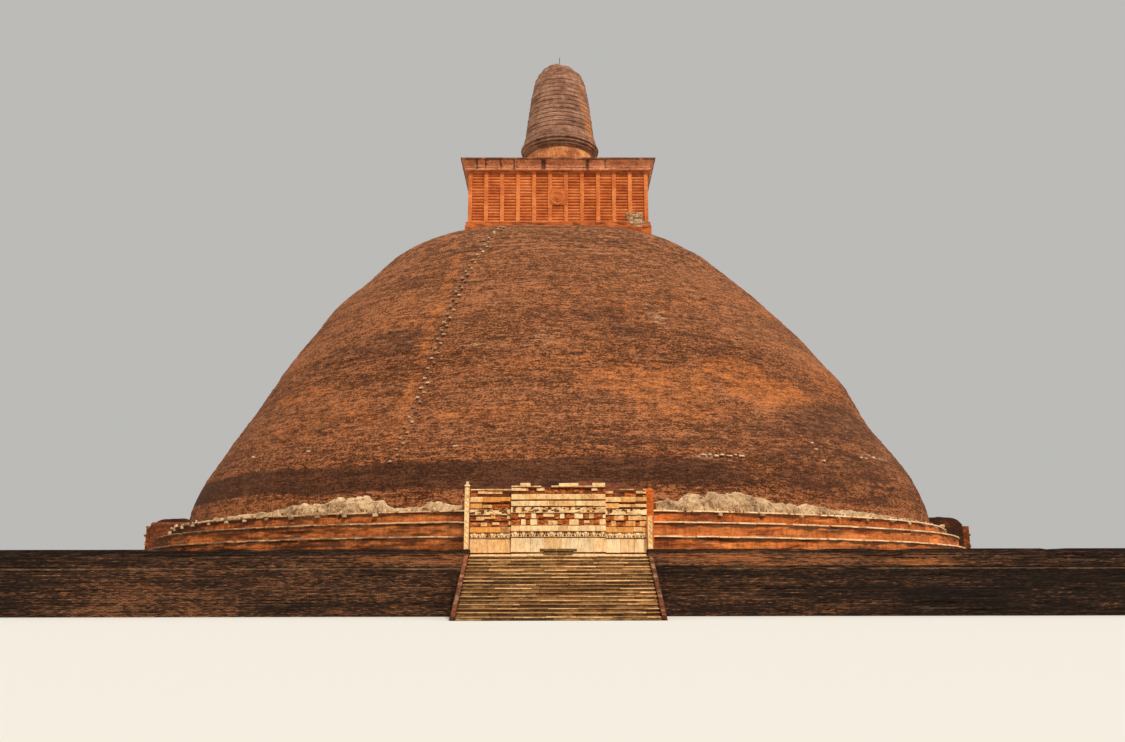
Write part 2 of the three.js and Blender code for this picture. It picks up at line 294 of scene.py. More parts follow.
@dataclass
class Blocks:
    """A growing list of squared stones, each with its place, size, turn and paint."""

    centres: list[Sequence[float]] = field(default_factory=list)
    halves: list[Sequence[float]] = field(default_factory=list)
    paint: list[Sequence[float]] = field(default_factory=list)

    def add(self, centre: Sequence[float], half: Sequence[float], paint: Sequence[float]) -> None:
        """Adds one stone by its middle and half sizes."""
        self.centres.append(np.asarray(centre, float))
        self.halves.append(np.asarray(half, float))
        self.paint.append(paint)

    def front(self, x: Span, height: Span, out: Span, paint: Sequence[float]) -> None:
        """Adds one stone on the front side by its spans in X, height and distance out."""
        self.add((sum(x) / 2, -sum(out) / 2, sum(height) / 2),
                 ((x[1] - x[0]) / 2, (out[1] - out[0]) / 2, (height[1] - height[0]) / 2), paint)


class Piece:
    """Gathers the surfaces of one piece in real metres and makes its Blender object."""

    def __init__(self, name: str) -> None:
        """Starts an empty piece.

        Args:
            name: the name of the object that it becomes.
        """
        self.name = name
        self.points: list[Array] = []
        self.paint: list[Array] = []
        self.faces: list[tuple[Array, Array | None, int, bool]] = []
        self.count = 0

    def add_points(self, points: Array, paint: Array | None) -> int:
        """Adds points with their paint.

        Args:
            points: places in real metres.
            paint: tone, stain, worn and pale, for each point or for all.

        Returns:
            The number of the first point.
        """
        paint = np.array([0.5, 0, 0, 0]) if paint is None else paint
        self.points.append(points.reshape(-1, 3))
        self.paint.append(np.broadcast_to(paint, (*points.shape[:-1], 4)).reshape(-1, 4))
        first = self.count
        self.count += len(self.points[-1])
        return first

    def grid(self, points: Array, across: Array, up: Array, paint: Array | None = None, *,
             wrap: bool = False, loop: bool = False, caps: bool = False, finish: int = 0,
             smooth: bool = False) -> Array:
        """Adds a sheet of quads.

        Args:
            points: rows by columns of places. Rows go up and columns go to the right.
            across: the pattern's distance to the right, for each column, or for each row of
                quads and column. It has one more column than the points where the sheet wraps.
            up: the pattern's distance up, for each row, and one more where the rows close.
            paint: tone, stain, worn and pale, for each point.
            wrap: whether the last column joins the first.
            loop: whether the last row joins the first, as a section drawn along a line does.
            caps: whether flat faces close the first and the last row.
            finish: number of the material.
            smooth: whether the sheet is shaded smooth.

        Returns:
            The numbers of the points.
        """
        rows, columns = points.shape[:2]
        placed = self.add_points(points, paint) + np.arange(rows * columns).reshape(rows, columns)
        numbers = placed
        if wrap:
            numbers = np.concatenate([numbers, numbers[:, :1]], 1)
        if loop:
            numbers = np.concatenate([numbers, numbers[:1]], 0)
        quads = np.stack([numbers[:-1, :-1], numbers[:-1, 1:], numbers[1:, 1:], numbers[1:, :-1]], -1)
        wide = np.broadcast_to(across, (quads.shape[0], numbers.shape[1]))
        high = np.broadcast_to(up[:, None], (numbers.shape[0], quads.shape[1]))
        u = np.stack([wide[:, :-1], wide[:, 1:], wide[:, 1:], wide[:, :-1]], -1)
        v = np.stack([high[:-1], high[:-1], high[1:], high[1:]], -1)
        self.faces.append((quads.reshape(-1, 4), np.stack([u, v], -1).reshape(-1, 4, 2), finish, smooth))
        if caps:
            self.close(placed[0, ::-1], finish)
            self.close(placed[-1], finish)
        return placed

    def close(self, ring: Array, finish: int = 0) -> None:
        """Closes a ring of points with one flat face that looks along the ring's turning."""
        self.faces.append((ring.reshape(1, -1), None, finish, False))

    def strip(self, out: Array | float, along: Array, height: Array, back: float | Array, base: float,
              place: Callable[[Array, Array, Array], Array], *, across: Array | None = None,
              paint: Array | None = None, finish: int = 0, smooth: bool = False) -> None:
        """Adds a closed band of walling with a detailed face and a plain top, back and foot.

        Args:
            out: distance out of the face, rows by columns, or for all of it.
            along: the place of each column, as place wants it.
            height: height of each row, or of each row and column.
            back: how far out the back is.
            base: height of the foot of the back.
            place: turns out, along and height into points.
            across: the pattern's distance for each column, if it isn't along.
            paint: paint for the face's points, or for all of them.
            finish: number of the material.
            smooth: whether the face is shaded smooth.
        """
        columns = len(along)
        across = along if across is None else across
        out = np.broadcast_to(out, (len(height), columns))
        high = np.broadcast_to(height if height.ndim == 2 else height[:, None], out.shape)
        back_out = np.broadcast_to(back, (2, columns))
        outs = np.concatenate([out, back_out])
        highs = np.concatenate([high, high[-1:], np.full((1, columns), base)])
        steps = high.mean(1)
        depth = abs(float(np.mean(out[-1] - back_out[0])))
        crest, fall = steps[-1] + depth, steps[-1] - base
        up = np.concatenate([steps, [crest, crest + fall, crest + fall + depth]])
        if paint is not None:
            paint = np.broadcast_to(paint, (*out.shape, 4))
            paint = np.concatenate([paint, paint[-1:], paint[:1]])
        numbers = self.grid(place(outs, along, highs), across, up, paint, loop=True, finish=finish,
                            smooth=smooth)
        self.close(numbers[:, 0], finish)
        self.close(numbers[::-1, -1], finish)

    def blocks(self, blocks: Blocks, rng: Random, *, chamfer: float = 0.02,
               jitter: float = 0.0, turns: Array | None = None, finish: int = 0, sharp: bool = False) -> None:
        """Adds squared stones with worn edges.

        Args:
            blocks: the stones.
            rng: source of the small shifts.
            chamfer: how much is worn off the edges.
            jitter: how far each corner may be out of place.
            turns: rotation matrix of each stone.
            finish: number of the material.
            sharp: whether the edges stay sharp, as small bricks and far slabs need no more.
        """
        if not blocks.centres:
            return
        centres, halves = np.array(blocks.centres, float), np.array(blocks.halves, float)
        wear = chamfer * rng.uniform(0.5, 1.6, (len(halves), 1))
        worn = np.minimum(wear, halves.min(1, keepdims=True) * 0.6)
        kept = (BLOCK_AXIS[:, None] == np.arange(3))[None]
        size = halves[:, None] - np.where(kept, 0, worn[:, None])
        shifts = rng.uniform(-jitter, jitter, (len(halves), 8, 3))
        local, shapes = BLOCK_SIGNS[None] * size + np.repeat(shifts, 3, axis=1), BLOCK_FACES
        if sharp:
            local, shapes = (BLOCK_SIGNS[None] * halves[:, None])[:, ::3] + shifts, SHARP_FACES
        if turns is not None:
            local = np.einsum("nij,npj->npi", turns, local)
        paint = np.repeat(np.array(blocks.paint, float)[:, None], local.shape[1], axis=1)
        first = self.add_points(centres[:, None] + local, paint)
        starts = first + local.shape[1] * np.arange(len(halves))[:, None, None]
        for shape in shapes:
            self.faces.append(((starts + shape[None]).reshape(-1, shape.shape[1]), None, finish, False))

    def take(self, other: Piece, side: str = "front") -> None:
        """Takes in another piece's surfaces.

        Args:
            other: the piece, made as if for the front.
            side: the side that it is turned to.
        """
        self.points += [quarter_turn(points, side) for points in other.points]
        self.paint += other.paint
        self.faces += [(ring + self.count, *rest) for ring, *rest in other.faces]
        self.count += other.count

    def make_at(self, side: str, finishes: Sequence[Material], slot: str, node: str, ending: str) -> None:
        """Makes the object after turning it from the front to a side.

        Args:
            side: the side.
            finishes: materials, in the order of their numbers.
            slot: not used.
            node: the frame node that it stands for.
            ending: last word of the object's name.
        """
        turned = Piece(f"{node}_{ending}")
        turned.take(self, side)
        turned.make(finishes, [node])

    def make(self, finishes: Sequence[Material], replaces: Sequence[str] = ()) -> None:
        """Makes the object, gives it its finishes and ties it to the frame.

        Args:
            finishes: materials, in the order of their numbers.
            replaces: frame nodes that this piece stands for.
        """
        points = np.concatenate(self.points)
        corners = np.concatenate([ring.ravel() for ring, *_ in self.faces])
        totals = np.concatenate([np.full(len(ring), ring.shape[1]) for ring, *_ in self.faces])
        mesh = bpy.data.meshes.new(self.name)
        mesh.vertices.add(len(points))
        mesh.vertices.foreach_set("co", (points * METRE).ravel())
        mesh.loops.add(len(corners))
        mesh.loops.foreach_set("vertex_index", corners.astype(np.int32))
        mesh.polygons.add(len(totals))
        mesh.polygons.foreach_set("loop_start", (np.cumsum(totals) - totals).astype(np.int32))
        mesh.polygons.foreach_set("material_index", self._per_face(2).astype(np.int32))
        mesh.polygons.foreach_set("use_smooth", self._per_face(3).astype(bool))
        mesh.update(calc_edges=True)
        pattern = np.concatenate([self._pattern(points, *entry[:2]).reshape(-1, 2) for entry in self.faces])
        mesh.uv_layers.new(name=UV_NAME).data.foreach_set("uv", pattern.ravel())
        paint = np.concatenate(self.paint)
        for column, name in enumerate(PAINTS):
            attribute = mesh.attributes.new(name, "FLOAT", "POINT")
            attribute.data.foreach_set("value", np.ascontiguousarray(paint[:, column], np.float32))
        for finish in finishes:
            mesh.materials.append(finish)
        piece = bpy.data.objects.new(self.name, mesh)
        bpy.context.scene.collection.objects.link(piece)
        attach(piece, "root")
        if replaces:
            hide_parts(*replaces)
        LOG.info("%s: %d triangles", self.name, int((totals - 2).sum()))

    def _per_face(self, entry: int) -> Array:
        """Repeats a value of each group of faces for every face in it."""
        return np.concatenate([np.full(len(group[0]), group[entry]) for group in self.faces])

    @staticmethod
    def _pattern(points: Array, ring: Array, pattern: Array | None) -> Array:
        """Gives the faces' pattern places, laid on from the side that each face looks to.

        Args:
            points: all of the piece's points.
            ring: the faces, as numbers of points.
            pattern: the places, where they are known already.

        Returns:
            A place for each corner of each face.
        """
        if pattern is not None:
            return pattern
        places = points[ring]
        normal = np.abs(np.cross(places[:, 1] - places[:, 0], places[:, 2] - places[:, 0]))
        axis = normal.argmax(1)
        flat = np.array([[1, 2], [0, 2], [0, 1]])[axis]
        return np.take_along_axis(places, flat[:, None, :], 2)


# Shader graphs: node groups that several finishes share, and the finishes.


class Graph:
    """Short calls for building a node tree."""

    def __init__(self, tree: bpy.types.NodeTree) -> None:
        """Works on a tree."""
        self.tree = tree

    def add(self, kind: str, values: dict[str | int, object] | None = None, **settings: object) -> Node:
        """Adds a node.

        Args:
            kind: the node's type without its usual first words.
            values: numbers, colours or sockets for its inputs.
            settings: the node's own options.

        Returns:
            The node.
        """
        node = self.tree.nodes.new("ShaderNode" + kind)
        for name, value in settings.items():
            setattr(node, name, value)
        for name, value in (values or {}).items():
            self.put(node.inputs[name], value)
        return node

    def put(self, socket: Socket, value: object) -> None:
        """Links a socket or sets its value.

        Args:
            socket: an input socket.
            value: a number, a colour or an output socket.
        """
        if isinstance(value, Socket):
            self.tree.links.new(value, socket)
        else:
            socket.default_value = value

    def math(self, operation: str, *values: object, clamp: bool = False) -> Socket:
        """Works out one sum of two or three numbers."""
        node = self.add("Math", dict(enumerate(values)), operation=operation, use_clamp=clamp)
        return node.outputs[0]

    def blend(self, mask: object, first: object, second: object, mode: str = "MIX") -> Socket:
        """Lays a second colour over a first where the mask says."""
        node = self.add("Mix", {0: mask, 6: first, 7: second}, data_type="RGBA", blend_type=mode)
        return node.outputs[2]

    def ramp(self, value: object, colours: Sequence[Colour]) -> Socket:
        """Runs through three colours while the value goes from 0 to 1."""
        low, middle, high = map(linear, colours)
        lower = self.blend(self.fit(value, 0.0, 0.5), low, middle)
        return self.blend(self.fit(value, 0.5, 1.0), lower, high)

    def fit(self, value: object, low: object, high: object, start: float = 0.0, end: float = 1.0) -> Socket:
        """Stretches a value between low and high to run from start to end."""
        node = self.add("MapRange", {0: value, 1: low, 2: high, 3: start, 4: end}, clamp=True)
        return node.outputs[0]

    def group(self, name: str, values: dict[str, object]) -> Node:
        """Places a shared node group with its own values.

        Args:
            name: the group's name.
            values: numbers or sockets for its inputs.

        Returns:
            The group's node.
        """
        node = self.tree.nodes.new("ShaderNodeGroup")
        node.node_tree = bpy.data.node_groups[name]
        for key, value in values.items():
            self.put(node.inputs[key], value)
        return node

    def painted(self, name: str) -> Socket:
        """Reads a value painted on the mesh."""
        return self.add("Attribute", attribute_name=name).outputs["Fac"]


def new_group(name: str, inputs: dict[str, float], outputs: Sequence[str]) -> tuple[Graph, dict, dict]:
    """Starts a node group with number inputs and outputs.

    Args:
        name: the group's name.
        inputs: names of its inputs with their usual values.
        outputs: names of its outputs.

    Returns:
        Its graph, its input sockets by name, and the sockets that its outputs are linked to.
    """
    tree = bpy.data.node_groups.new(name, "ShaderNodeTree")
    for key, value in inputs.items():
        socket = tree.interface.new_socket(key, in_out="INPUT", socket_type="NodeSocketFloat")
        socket.default_value = value
    for key in outputs:
        tree.interface.new_socket(key, in_out="OUTPUT", socket_type="NodeSocketFloat")
    entry, leave = tree.nodes.new("NodeGroupInput"), tree.nodes.new("NodeGroupOutput")
    given = {key: entry.outputs[key] for key in inputs}
    return Graph(tree), given, {key: leave.inputs[key] for key in outputs}


def build_mottle() -> None:
    """Makes the group for patches, streaks and runs: noise with a breadth and a height."""
    graph, given, result = new_group(
        "Mottle",
        {"Breadth": 1.0, "Height": 1.0, "Shift": 0.0, "Level": 0.5, "Softness": 0.15, "Detail": 3.0},
        ("Mask", "Value"))
    place = graph.add("TexCoord").outputs["Object"]
    metres = graph.add("VectorMath", {0: place, 1: (1 / METRE,) * 3}, operation="MULTIPLY").outputs[0]
    size = graph.add("CombineXYZ", {0: given["Breadth"], 1: given["Breadth"], 2: given["Height"]}).outputs[0]
    scaled = graph.add("VectorMath", {0: metres, 1: size}, operation="DIVIDE").outputs[0]
    moved = graph.add("VectorMath", {0: scaled, 1: given["Shift"]}, operation="ADD").outputs[0]
    noise = {"Vector": moved, "Scale": 1.0, "Detail": given["Detail"], "Roughness": 0.62}
    value = graph.add("TexNoise", noise).outputs[0]
    low = graph.math("SUBTRACT", given["Level"], given["Softness"])
    high = graph.math("ADD", given["Level"], given["Softness"])
    graph.put(result["Mask"], graph.fit(value, low, high))
    graph.put(result["Value"], value)


def build_brickwork() -> None:
    """Makes the group for brick courses laid on the pattern map in real metres."""
    graph, given, result = new_group(
        "Brickwork", {"Length": 0.36, "Height": 0.073, "Joint": 0.012}, ("Tone", "Joint", "Relief"))
    place = graph.add("UVMap", uv_map=UV_NAME).outputs[0]
    bricks = graph.add("TexBrick", {
        "Vector": place, "Color1": (0, 0, 0, 1), "Color2": (1, 1, 1, 1), "Mortar": (0.4, 0.4, 0.4, 1),
        "Scale": 1.0, "Mortar Size": given["Joint"], "Mortar Smooth": 0.3,
        "Brick Width": given["Length"], "Row Height": given["Height"]})
    graph.put(result["Tone"], bricks.outputs["Color"])
    graph.put(result["Joint"], bricks.outputs["Fac"])
    tilt = graph.math("MULTIPLY", bricks.outputs["Color"], 0.5)
    graph.put(result["Relief"], graph.math("SUBTRACT", tilt, bricks.outputs["Fac"]))


def build_dust() -> None:
    """Makes the group for pale dust and lichen on what faces up."""
    graph, given, result = new_group("Ledge dust", {"Breadth": 1.2, "Share": 0.5}, ("Mask",))
    up = graph.add("SeparateXYZ", {0: graph.add("NewGeometry").outputs["Normal"]}).outputs["Z"]
    facing = graph.fit(up, 0.35, 0.9)
    patches = graph.group("Mottle", {"Breadth": given["Breadth"], "Height": given["Breadth"], "Level": 0.45,
                                     "Softness": 0.2}).outputs["Mask"]
    share = graph.math("MULTIPLY", facing, given["Share"])
    graph.put(result["Mask"], graph.math("MULTIPLY", share, graph.fit(patches, 0, 1, 0.45, 1)))


def build_ragged() -> None:
    """Makes the group that breaks up the edges of a painted patch."""
    graph, given, result = new_group(
        "Ragged edge", {"Paint": 0.0, "Breadth": 1.2, "Height": 0.3, "Ragged": 0.9}, ("Mask",))
    mottle = {"Breadth": given["Breadth"], "Height": given["Height"], "Shift": 31.7}
    value = graph.group("Mottle", mottle).outputs["Value"]
    shift = graph.math("MULTIPLY", graph.math("SUBTRACT", value, 0.5), given["Ragged"])
    total = graph.math("ADD", given["Paint"], graph.math("MULTIPLY", shift, 2.0))
    shown = graph.fit(total, 0.3, 0.8)
    # A place with no paint stays bare, however the noise falls.
    graph.put(result["Mask"], graph.math("MULTIPLY", shown, graph.fit(given["Paint"], 0.0, 0.25)))


def new_material(name: str) -> tuple[Material, Graph, dict]:
    """Starts a material and gives it with its graph and its shader's inputs."""
    material = bpy.data.materials.new(name)
    material.use_nodes = True
    return material, Graph(material.node_tree), material.node_tree.nodes["Principled BSDF"].inputs


@dataclass(frozen=True)
class WeatheredMasonry:
    """Brick, stone or mortar with its tones, layers, stains, dust and relief.

    Colours are sRGB values of 0 to 255, and lengths are real metres.
    """

    name: str
    dark: Colour
    body: Colour
    light: Colour
    worn: Colour
    stain: Colour
    pale: Colour
    brick: tuple[float, float, float] = (0.0, 0.0, 0.0)
    brick_share: float = 0.3
    joint_share: float = 0.5
    clump: tuple[float, float, float] = (0.0, 0.0, 0.0)
    layers: tuple[tuple[float, float, float], ...] = ((0.2, 0.12, 0.5), (1.0, 0.22, 0.4), (4.0, 1.2, 0.3))
    runs: float = 0.0
    run_size: tuple[float, float] = (0.5, 2.2)
    dust: float = 0.3
    roughness: float = 0.9
    relief: float = 0.02
    ragged: tuple[float, float] = (1.4, 0.3)
    # How bright an overlay is where the masonry below it is darkest and where it is lightest.
    showing: Span = (0.55, 1.5)

    def build(self) -> Material:
        """Makes the material.

        Returns:
            The material.
        """
        material, graph, shader = new_material(self.name)
        tone, relief, shares = graph.painted("tone"), 0.0, 0.0
        for number, (breadth, height, share) in enumerate(self.layers):
            mottle = {"Breadth": breadth, "Height": height, "Shift": 5.1 + 9.7 * number, "Softness": 0.19}
            layer = graph.group("Mottle", mottle).outputs
            tone = graph.math("MULTIPLY_ADD", layer["Mask"], share, tone)
            relief = graph.math("MULTIPLY_ADD", layer["Value"], share * (0.6 if number else 1.2), relief)
            shares += share
        if self.brick[0]:
            length, course, joint = self.brick
            bricks = graph.group("Brickwork", {"Length": length, "Height": course, "Joint": joint})
            tone = graph.math("MULTIPLY_ADD", bricks.outputs["Tone"], self.brick_share, tone)
            relief = graph.math("ADD", relief, bricks.outputs["Relief"])
            shares += self.brick_share
        if self.clump[0]:
            length, course, share = self.clump
            clumps = graph.group("Brickwork", {"Length": length, "Height": course, "Joint": 0.0})
            tone = graph.math("MULTIPLY_ADD", clumps.outputs["Tone"], share, tone)
            shares += share
        tone = graph.math("SUBTRACT", tone, shares / 2, clamp=True)
        colour = graph.ramp(tone, (self.dark, self.body, self.light))
        if self.brick[0]:
            joints = graph.math("MULTIPLY", bricks.outputs["Joint"], self.joint_share)
            colour = graph.blend(joints, colour, linear(self.dark))
        for paint, over in (("worn", self.worn), ("stain", self.stain), ("pale", self.pale)):
            breadth, height = self.ragged
            edge = graph.group("Ragged edge",
                               {"Paint": graph.painted(paint), "Breadth": breadth, "Height": height})
            # The fine tones still show through what lies over them.
            shade = graph.fit(tone, 0.0, 1.0, *self.showing)
            toned = graph.add("VectorMath", {0: linear(over)[:3], "Scale": shade}, operation="SCALE")
            mask = graph.math("MULTIPLY", edge.outputs["Mask"], OVERLAY)
            colour = graph.blend(mask, colour, toned.outputs[0])
        if self.runs:
            breadth, height = self.run_size
            runs = graph.group("Mottle", {"Breadth": breadth, "Height": height, "Shift": 47.0, "Level": 0.57,
                                          "Softness": 0.09})
            mask = graph.math("MULTIPLY", runs.outputs["Mask"], self.runs)
            colour = graph.blend(mask, colour, linear(self.stain))
        if self.dust:
            dust = graph.group("Ledge dust", {"Share": self.dust})
            colour = graph.blend(dust.outputs["Mask"], colour, linear(self.pale))
        graph.put(shader["Base Color"], colour)
        rough = graph.fit(tone, 0.0, 1.0, self.roughness - 0.08, self.roughness + 0.06)
        graph.put(shader["Roughness"], rough)
        shader["Specular IOR Level"].default_value = 0.12
        bump = graph.add("Bump", {"Height": relief, "Strength": 0.7, "Distance": self.relief * METRE})
        graph.put(shader["Normal"], bump.outputs[0])
        return material


@dataclass(frozen=True)
class AgedMetal:
    """Weathered copper of the rod."""

    name: str
    clean: Colour = (122, 96, 74)
    tarnish: Colour = (58, 56, 50)

    def build(self) -> Material:
        """Makes the material."""
        material, graph, shader = new_material(self.name)
        spots = graph.group("Mottle", {"Breadth": 0.05, "Height": 0.12}).outputs
        colour = graph.blend(spots["Mask"], linear(self.clean), linear(self.tarnish))
        graph.put(shader["Base Color"], colour)
        graph.put(shader["Roughness"], graph.fit(spots["Value"], 0.2, 0.8, 0.4, 0.7))
        shader["Metallic"].default_value = 0.85
        return material


@dataclass(frozen=True)
class PlainGround:
    """Pale studio floor, with only the faintest unevenness."""

    name: str
    colour: Colour = (222, 219, 212)

    def build(self) -> Material:
        """Makes the material."""
        material, graph, shader = new_material(self.name)
        values = {"Base Color": linear(self.colour), "Roughness": 0.95, "Specular IOR Level": 0.1}
        for name, value in values.items():
            graph.put(shader[name], value)
        return material


DOME_BRICK = WeatheredMasonry(
    "dome brick", dark=(67, 36, 16), body=(121, 69, 39), light=(184, 118, 76), worn=(174, 101, 51),
    stain=(76, 46, 30), pale=(190, 156, 124), brick=(0.36, 0.0733, 0.012), joint_share=0.3,
    clump=(0.5, 0.1466, 0.5),
    layers=((0.2, 0.11, 1.3), (0.6, 0.16, 0.5), (3.0, 0.2, 0.45), (0.7, 4.0, 0.25), (2.2, 0.4, 0.4),
            (11.0, 4.0, 0.2)),
    dust=0.08, relief=0.03, ragged=(1.5, 0.35), showing=(0.5, 1.58))
TIER_BRICK = WeatheredMasonry(
    "tier brick", dark=(108, 55, 27), body=(188, 99, 45), light=(230, 142, 78), worn=(216, 120, 52),
    stain=(66, 41, 27), pale=(206, 172, 126), brick=(0.34, 0.07, 0.012),
    layers=((0.22, 0.1, 0.4), (0.4, 1.1, 0.3), (3.0, 0.7, 0.4)), runs=0.35, run_size=(0.28, 1.4), dust=0.4)
MASS_BRICK = WeatheredMasonry(
    "core brick", dark=(62, 36, 25), body=(108, 60, 38), light=(160, 92, 56), worn=(222, 112, 38),
    stain=(56, 35, 26), pale=(196, 160, 118), brick=(0.34, 0.07, 0.012),
    layers=((0.2, 0.09, 0.6), (0.7, 0.16, 0.5), (2.4, 0.5, 0.5)), runs=0.15, dust=0.0, relief=0.03)
CHAMBER_BRICK = WeatheredMasonry(
    "chamber brick", dark=(160, 76, 36), body=(206, 110, 54), light=(236, 144, 84), worn=(232, 142, 84),
    stain=(84, 46, 30), pale=(206, 170, 122), brick=(0.34, 0.07, 0.01), joint_share=0.25,
    layers=((0.2, 0.12, 0.4), (0.9, 0.3, 0.35), (3.5, 2.5, 0.3)), runs=0.12, dust=0.2, relief=0.014)
# Paler and bluer than the chamber's brick, as painted light that makes up for the shade on the cornice's
# downward faces.
CORNICE_BRICK = WeatheredMasonry(
    "cornice brick", dark=(168, 98, 68), body=(232, 147, 101), light=(252, 188, 141), worn=(238, 168, 122),
    stain=(70, 44, 34), pale=(206, 170, 122), brick=(0.34, 0.07, 0.01), joint_share=0.25,
    layers=((0.2, 0.12, 0.4), (0.9, 0.3, 0.35), (3.5, 2.5, 0.3)), runs=0.4, run_size=(0.22, 1.4), dust=0.2,
    relief=0.014)
SPIRE_BRICK = WeatheredMasonry(
    "spire brick", dark=(106, 73, 56), body=(157, 112, 89), light=(200, 153, 124), worn=(208, 132, 72),
    stain=(70, 48, 39), pale=(196, 158, 126), brick=(0.34, 0.07, 0.01), joint_share=0.3,
    clump=(0.5, 0.16, 0.3),
    layers=((0.22, 0.1, 0.55), (1.1, 0.3, 0.2), (0.8, 2.6, 0.3)), runs=0.15, dust=0.1)
DRUM_BRICK = WeatheredMasonry(
    "drum brick", dark=(150, 86, 52), body=(213, 133, 82), light=(244, 174, 116), worn=(232, 160, 98),
    stain=(84, 50, 34), pale=(206, 166, 128), brick=(0.34, 0.07, 0.01), joint_share=0.25,
    layers=((0.25, 0.14, 0.5), (1.4, 1.0, 0.5)), runs=0.4, run_size=(0.24, 2.2), dust=0.1, relief=0.014)
WALL_BRICK = WeatheredMasonry(
    "terrace brick", dark=(31, 20, 13), body=(68, 44, 29), light=(140, 92, 60), worn=(146, 84, 44),
    stain=(31, 21, 15), pale=(132, 102, 76), brick=(0.26, 0.072, 0.014), brick_share=0.6, joint_share=0.6,
    layers=((0.2, 0.05, 0.6), (0.6, 0.075, 0.55), (7.0, 0.05, 0.7), (3.5, 0.9, 0.3)), runs=0.12, dust=0.25,
    relief=0.03, ragged=(1.2, 0.1), showing=(0.4, 1.7))
LIMESTONE = WeatheredMasonry(
    "limestone", dark=(172, 115, 59), body=(234, 188, 126), light=(254, 226, 172), worn=(232, 152, 64),
    stain=(98, 62, 34), pale=(250, 224, 180), layers=((0.14, 0.08, 0.5), (0.34, 0.7, 0.45), (2.0, 1.0, 0.3)),
    runs=0.28, run_size=(0.22, 1.1), dust=0.35, relief=0.018, ragged=(0.35, 0.5), showing=(0.76, 1.12))
FACING_BRICK = WeatheredMasonry(
    "facing brick", dark=(122, 60, 28), body=(206, 106, 46), light=(242, 148, 73), worn=(228, 124, 48),
    stain=(74, 45, 29), pale=(226, 186, 138), brick=(0.3, 0.07, 0.014), brick_share=0.4,
    layers=((0.14, 0.07, 0.5), (0.6, 0.2, 0.4)), dust=0.3, ragged=(0.5, 0.3))
PAVING_STONE = WeatheredMasonry(
    "paving stone", dark=(150, 108, 72), body=(216, 172, 124), light=(246, 214, 168), worn=(216, 152, 96),
    stain=(100, 68, 44), pale=(250, 224, 184), layers=((0.2, 0.12, 0.5), (0.9, 0.4, 0.3), (3.0, 2.0, 0.3)),
    dust=0.4, relief=0.016, ragged=(0.8, 0.3), showing=(0.75, 1.15))
TERRACE_STONE = WeatheredMasonry(
    "terrace stone", dark=(104, 82, 58), body=(154, 124, 91), light=(186, 154, 118), worn=(168, 130, 90),
    stain=(88, 68, 50), pale=(186, 160, 124), layers=((0.2, 0.2, 0.5), (0.9, 0.6, 0.3), (4.0, 4.0, 0.4)),
    dust=0.15, relief=0.016, ragged=(0.8, 0.3), showing=(0.75, 1.2))
STAIR_STONE = WeatheredMasonry(
    "stair stone", dark=(84, 56, 32), body=(142, 101, 60), light=(184, 140, 88), worn=(196, 148, 90),
    stain=(62, 42, 25), pale=(214, 172, 118), layers=((0.12, 0.06, 0.5), (0.7, 0.14, 0.4), (2.0, 0.8, 0.3)),
    dust=0.5, relief=0.014, ragged=(0.6, 0.3))
MORTAR = WeatheredMasonry(
    "old mortar", dark=(116, 86, 60), body=(170, 135, 97), light=(210, 176, 136), worn=(168, 116, 76),
    stain=(94, 68, 48), pale=(224, 194, 154), layers=((0.1, 0.16, 0.8), (0.2, 0.8, 0.5), (1.6, 1.2, 0.3)),
    runs=0.15, dust=0.3, relief=0.05, ragged=(0.3, 0.6))
ALTAR_STONE = WeatheredMasonry(
    "altar stone", dark=(104, 76, 47), body=(160, 122, 78), light=(196, 158, 110), worn=(172, 138, 92),
    stain=(84, 64, 44), pale=(206, 180, 142), layers=((0.08, 0.06, 0.5), (0.5, 0.3, 0.4)), dust=0.3,
    relief=0.012, ragged=(0.5, 0.5))
CLIMBING_STONE = WeatheredMasonry(
    "climbing stone", dark=(130, 98, 71), body=(178, 148, 115), light=(212, 186, 152), worn=(206, 160, 116),
    stain=(104, 74, 52), pale=(226, 204, 172), layers=((0.1, 0.1, 0.5),), dust=0.4)
ROD_METAL = AgedMetal("rod metal")
STUDIO_FLOOR = PlainGround("studio floor")


# The pieces.


Marks = tuple[tuple[float, float, float, float, float], ...]

# Places on the dome's front, each with its azimuth in degrees, height, half breadth in degrees,
# half height and strength. Further round, seeded noise places them.
SOOT: Marks = (
    (-27, 26.9, 10, 2.3, 0.6), (-37, 26.1, 12, 1.8, 0.5), (-44.5, 25, 7, 1.4, 0.35), (-38, 36, 10, 2.2, 0.3),
    (-22, 33.4, 4.2, 1, 0.3), (-8.5, 24.6, 7, 0.8, 0.4), (10, 27.2, 4, 1.5, 0.48), (5, 29.9, 3.4, 1.6, 0.42),
    (24, 30.1, 4.3, 1.2, 0.38), (13, 33, 3.4, 1.4, 0.3), (6, 14.8, 22, 0.8, 0.5), (-8, 21.3, 6.6, 1.4, 0.28),
    (5.4, 19.2, 4.5, 0.9, 0.42), (27, 16.6, 9, 1.6, 0.5), (40, 18.2, 10, 2.6, 0.58),
    (52, 19.4, 11, 2.6, 0.62),
    (36, 13.6, 17, 2, 0.6), (46, 11.5, 10, 1.6, 0.5), (66, 15, 9, 5, 0.45), (46, 30.5, 14, 2.4, 0.38),
    (30, 25.9, 10, 0.7, 0.35), (28, 39.9, 12, 0.9, 0.35), (-11, 42, 6, 1.6, 0.4), (10, 41.5, 18, 1.3, 0.3),
    (36, 37.4, 9, 2.1, 0.25), (-50, 17.2, 7.7, 2.3, 0.25), (-20, 40.3, 7, 1.2, 0.3), (-8, 31.4, 5, 1.6, 0.3))
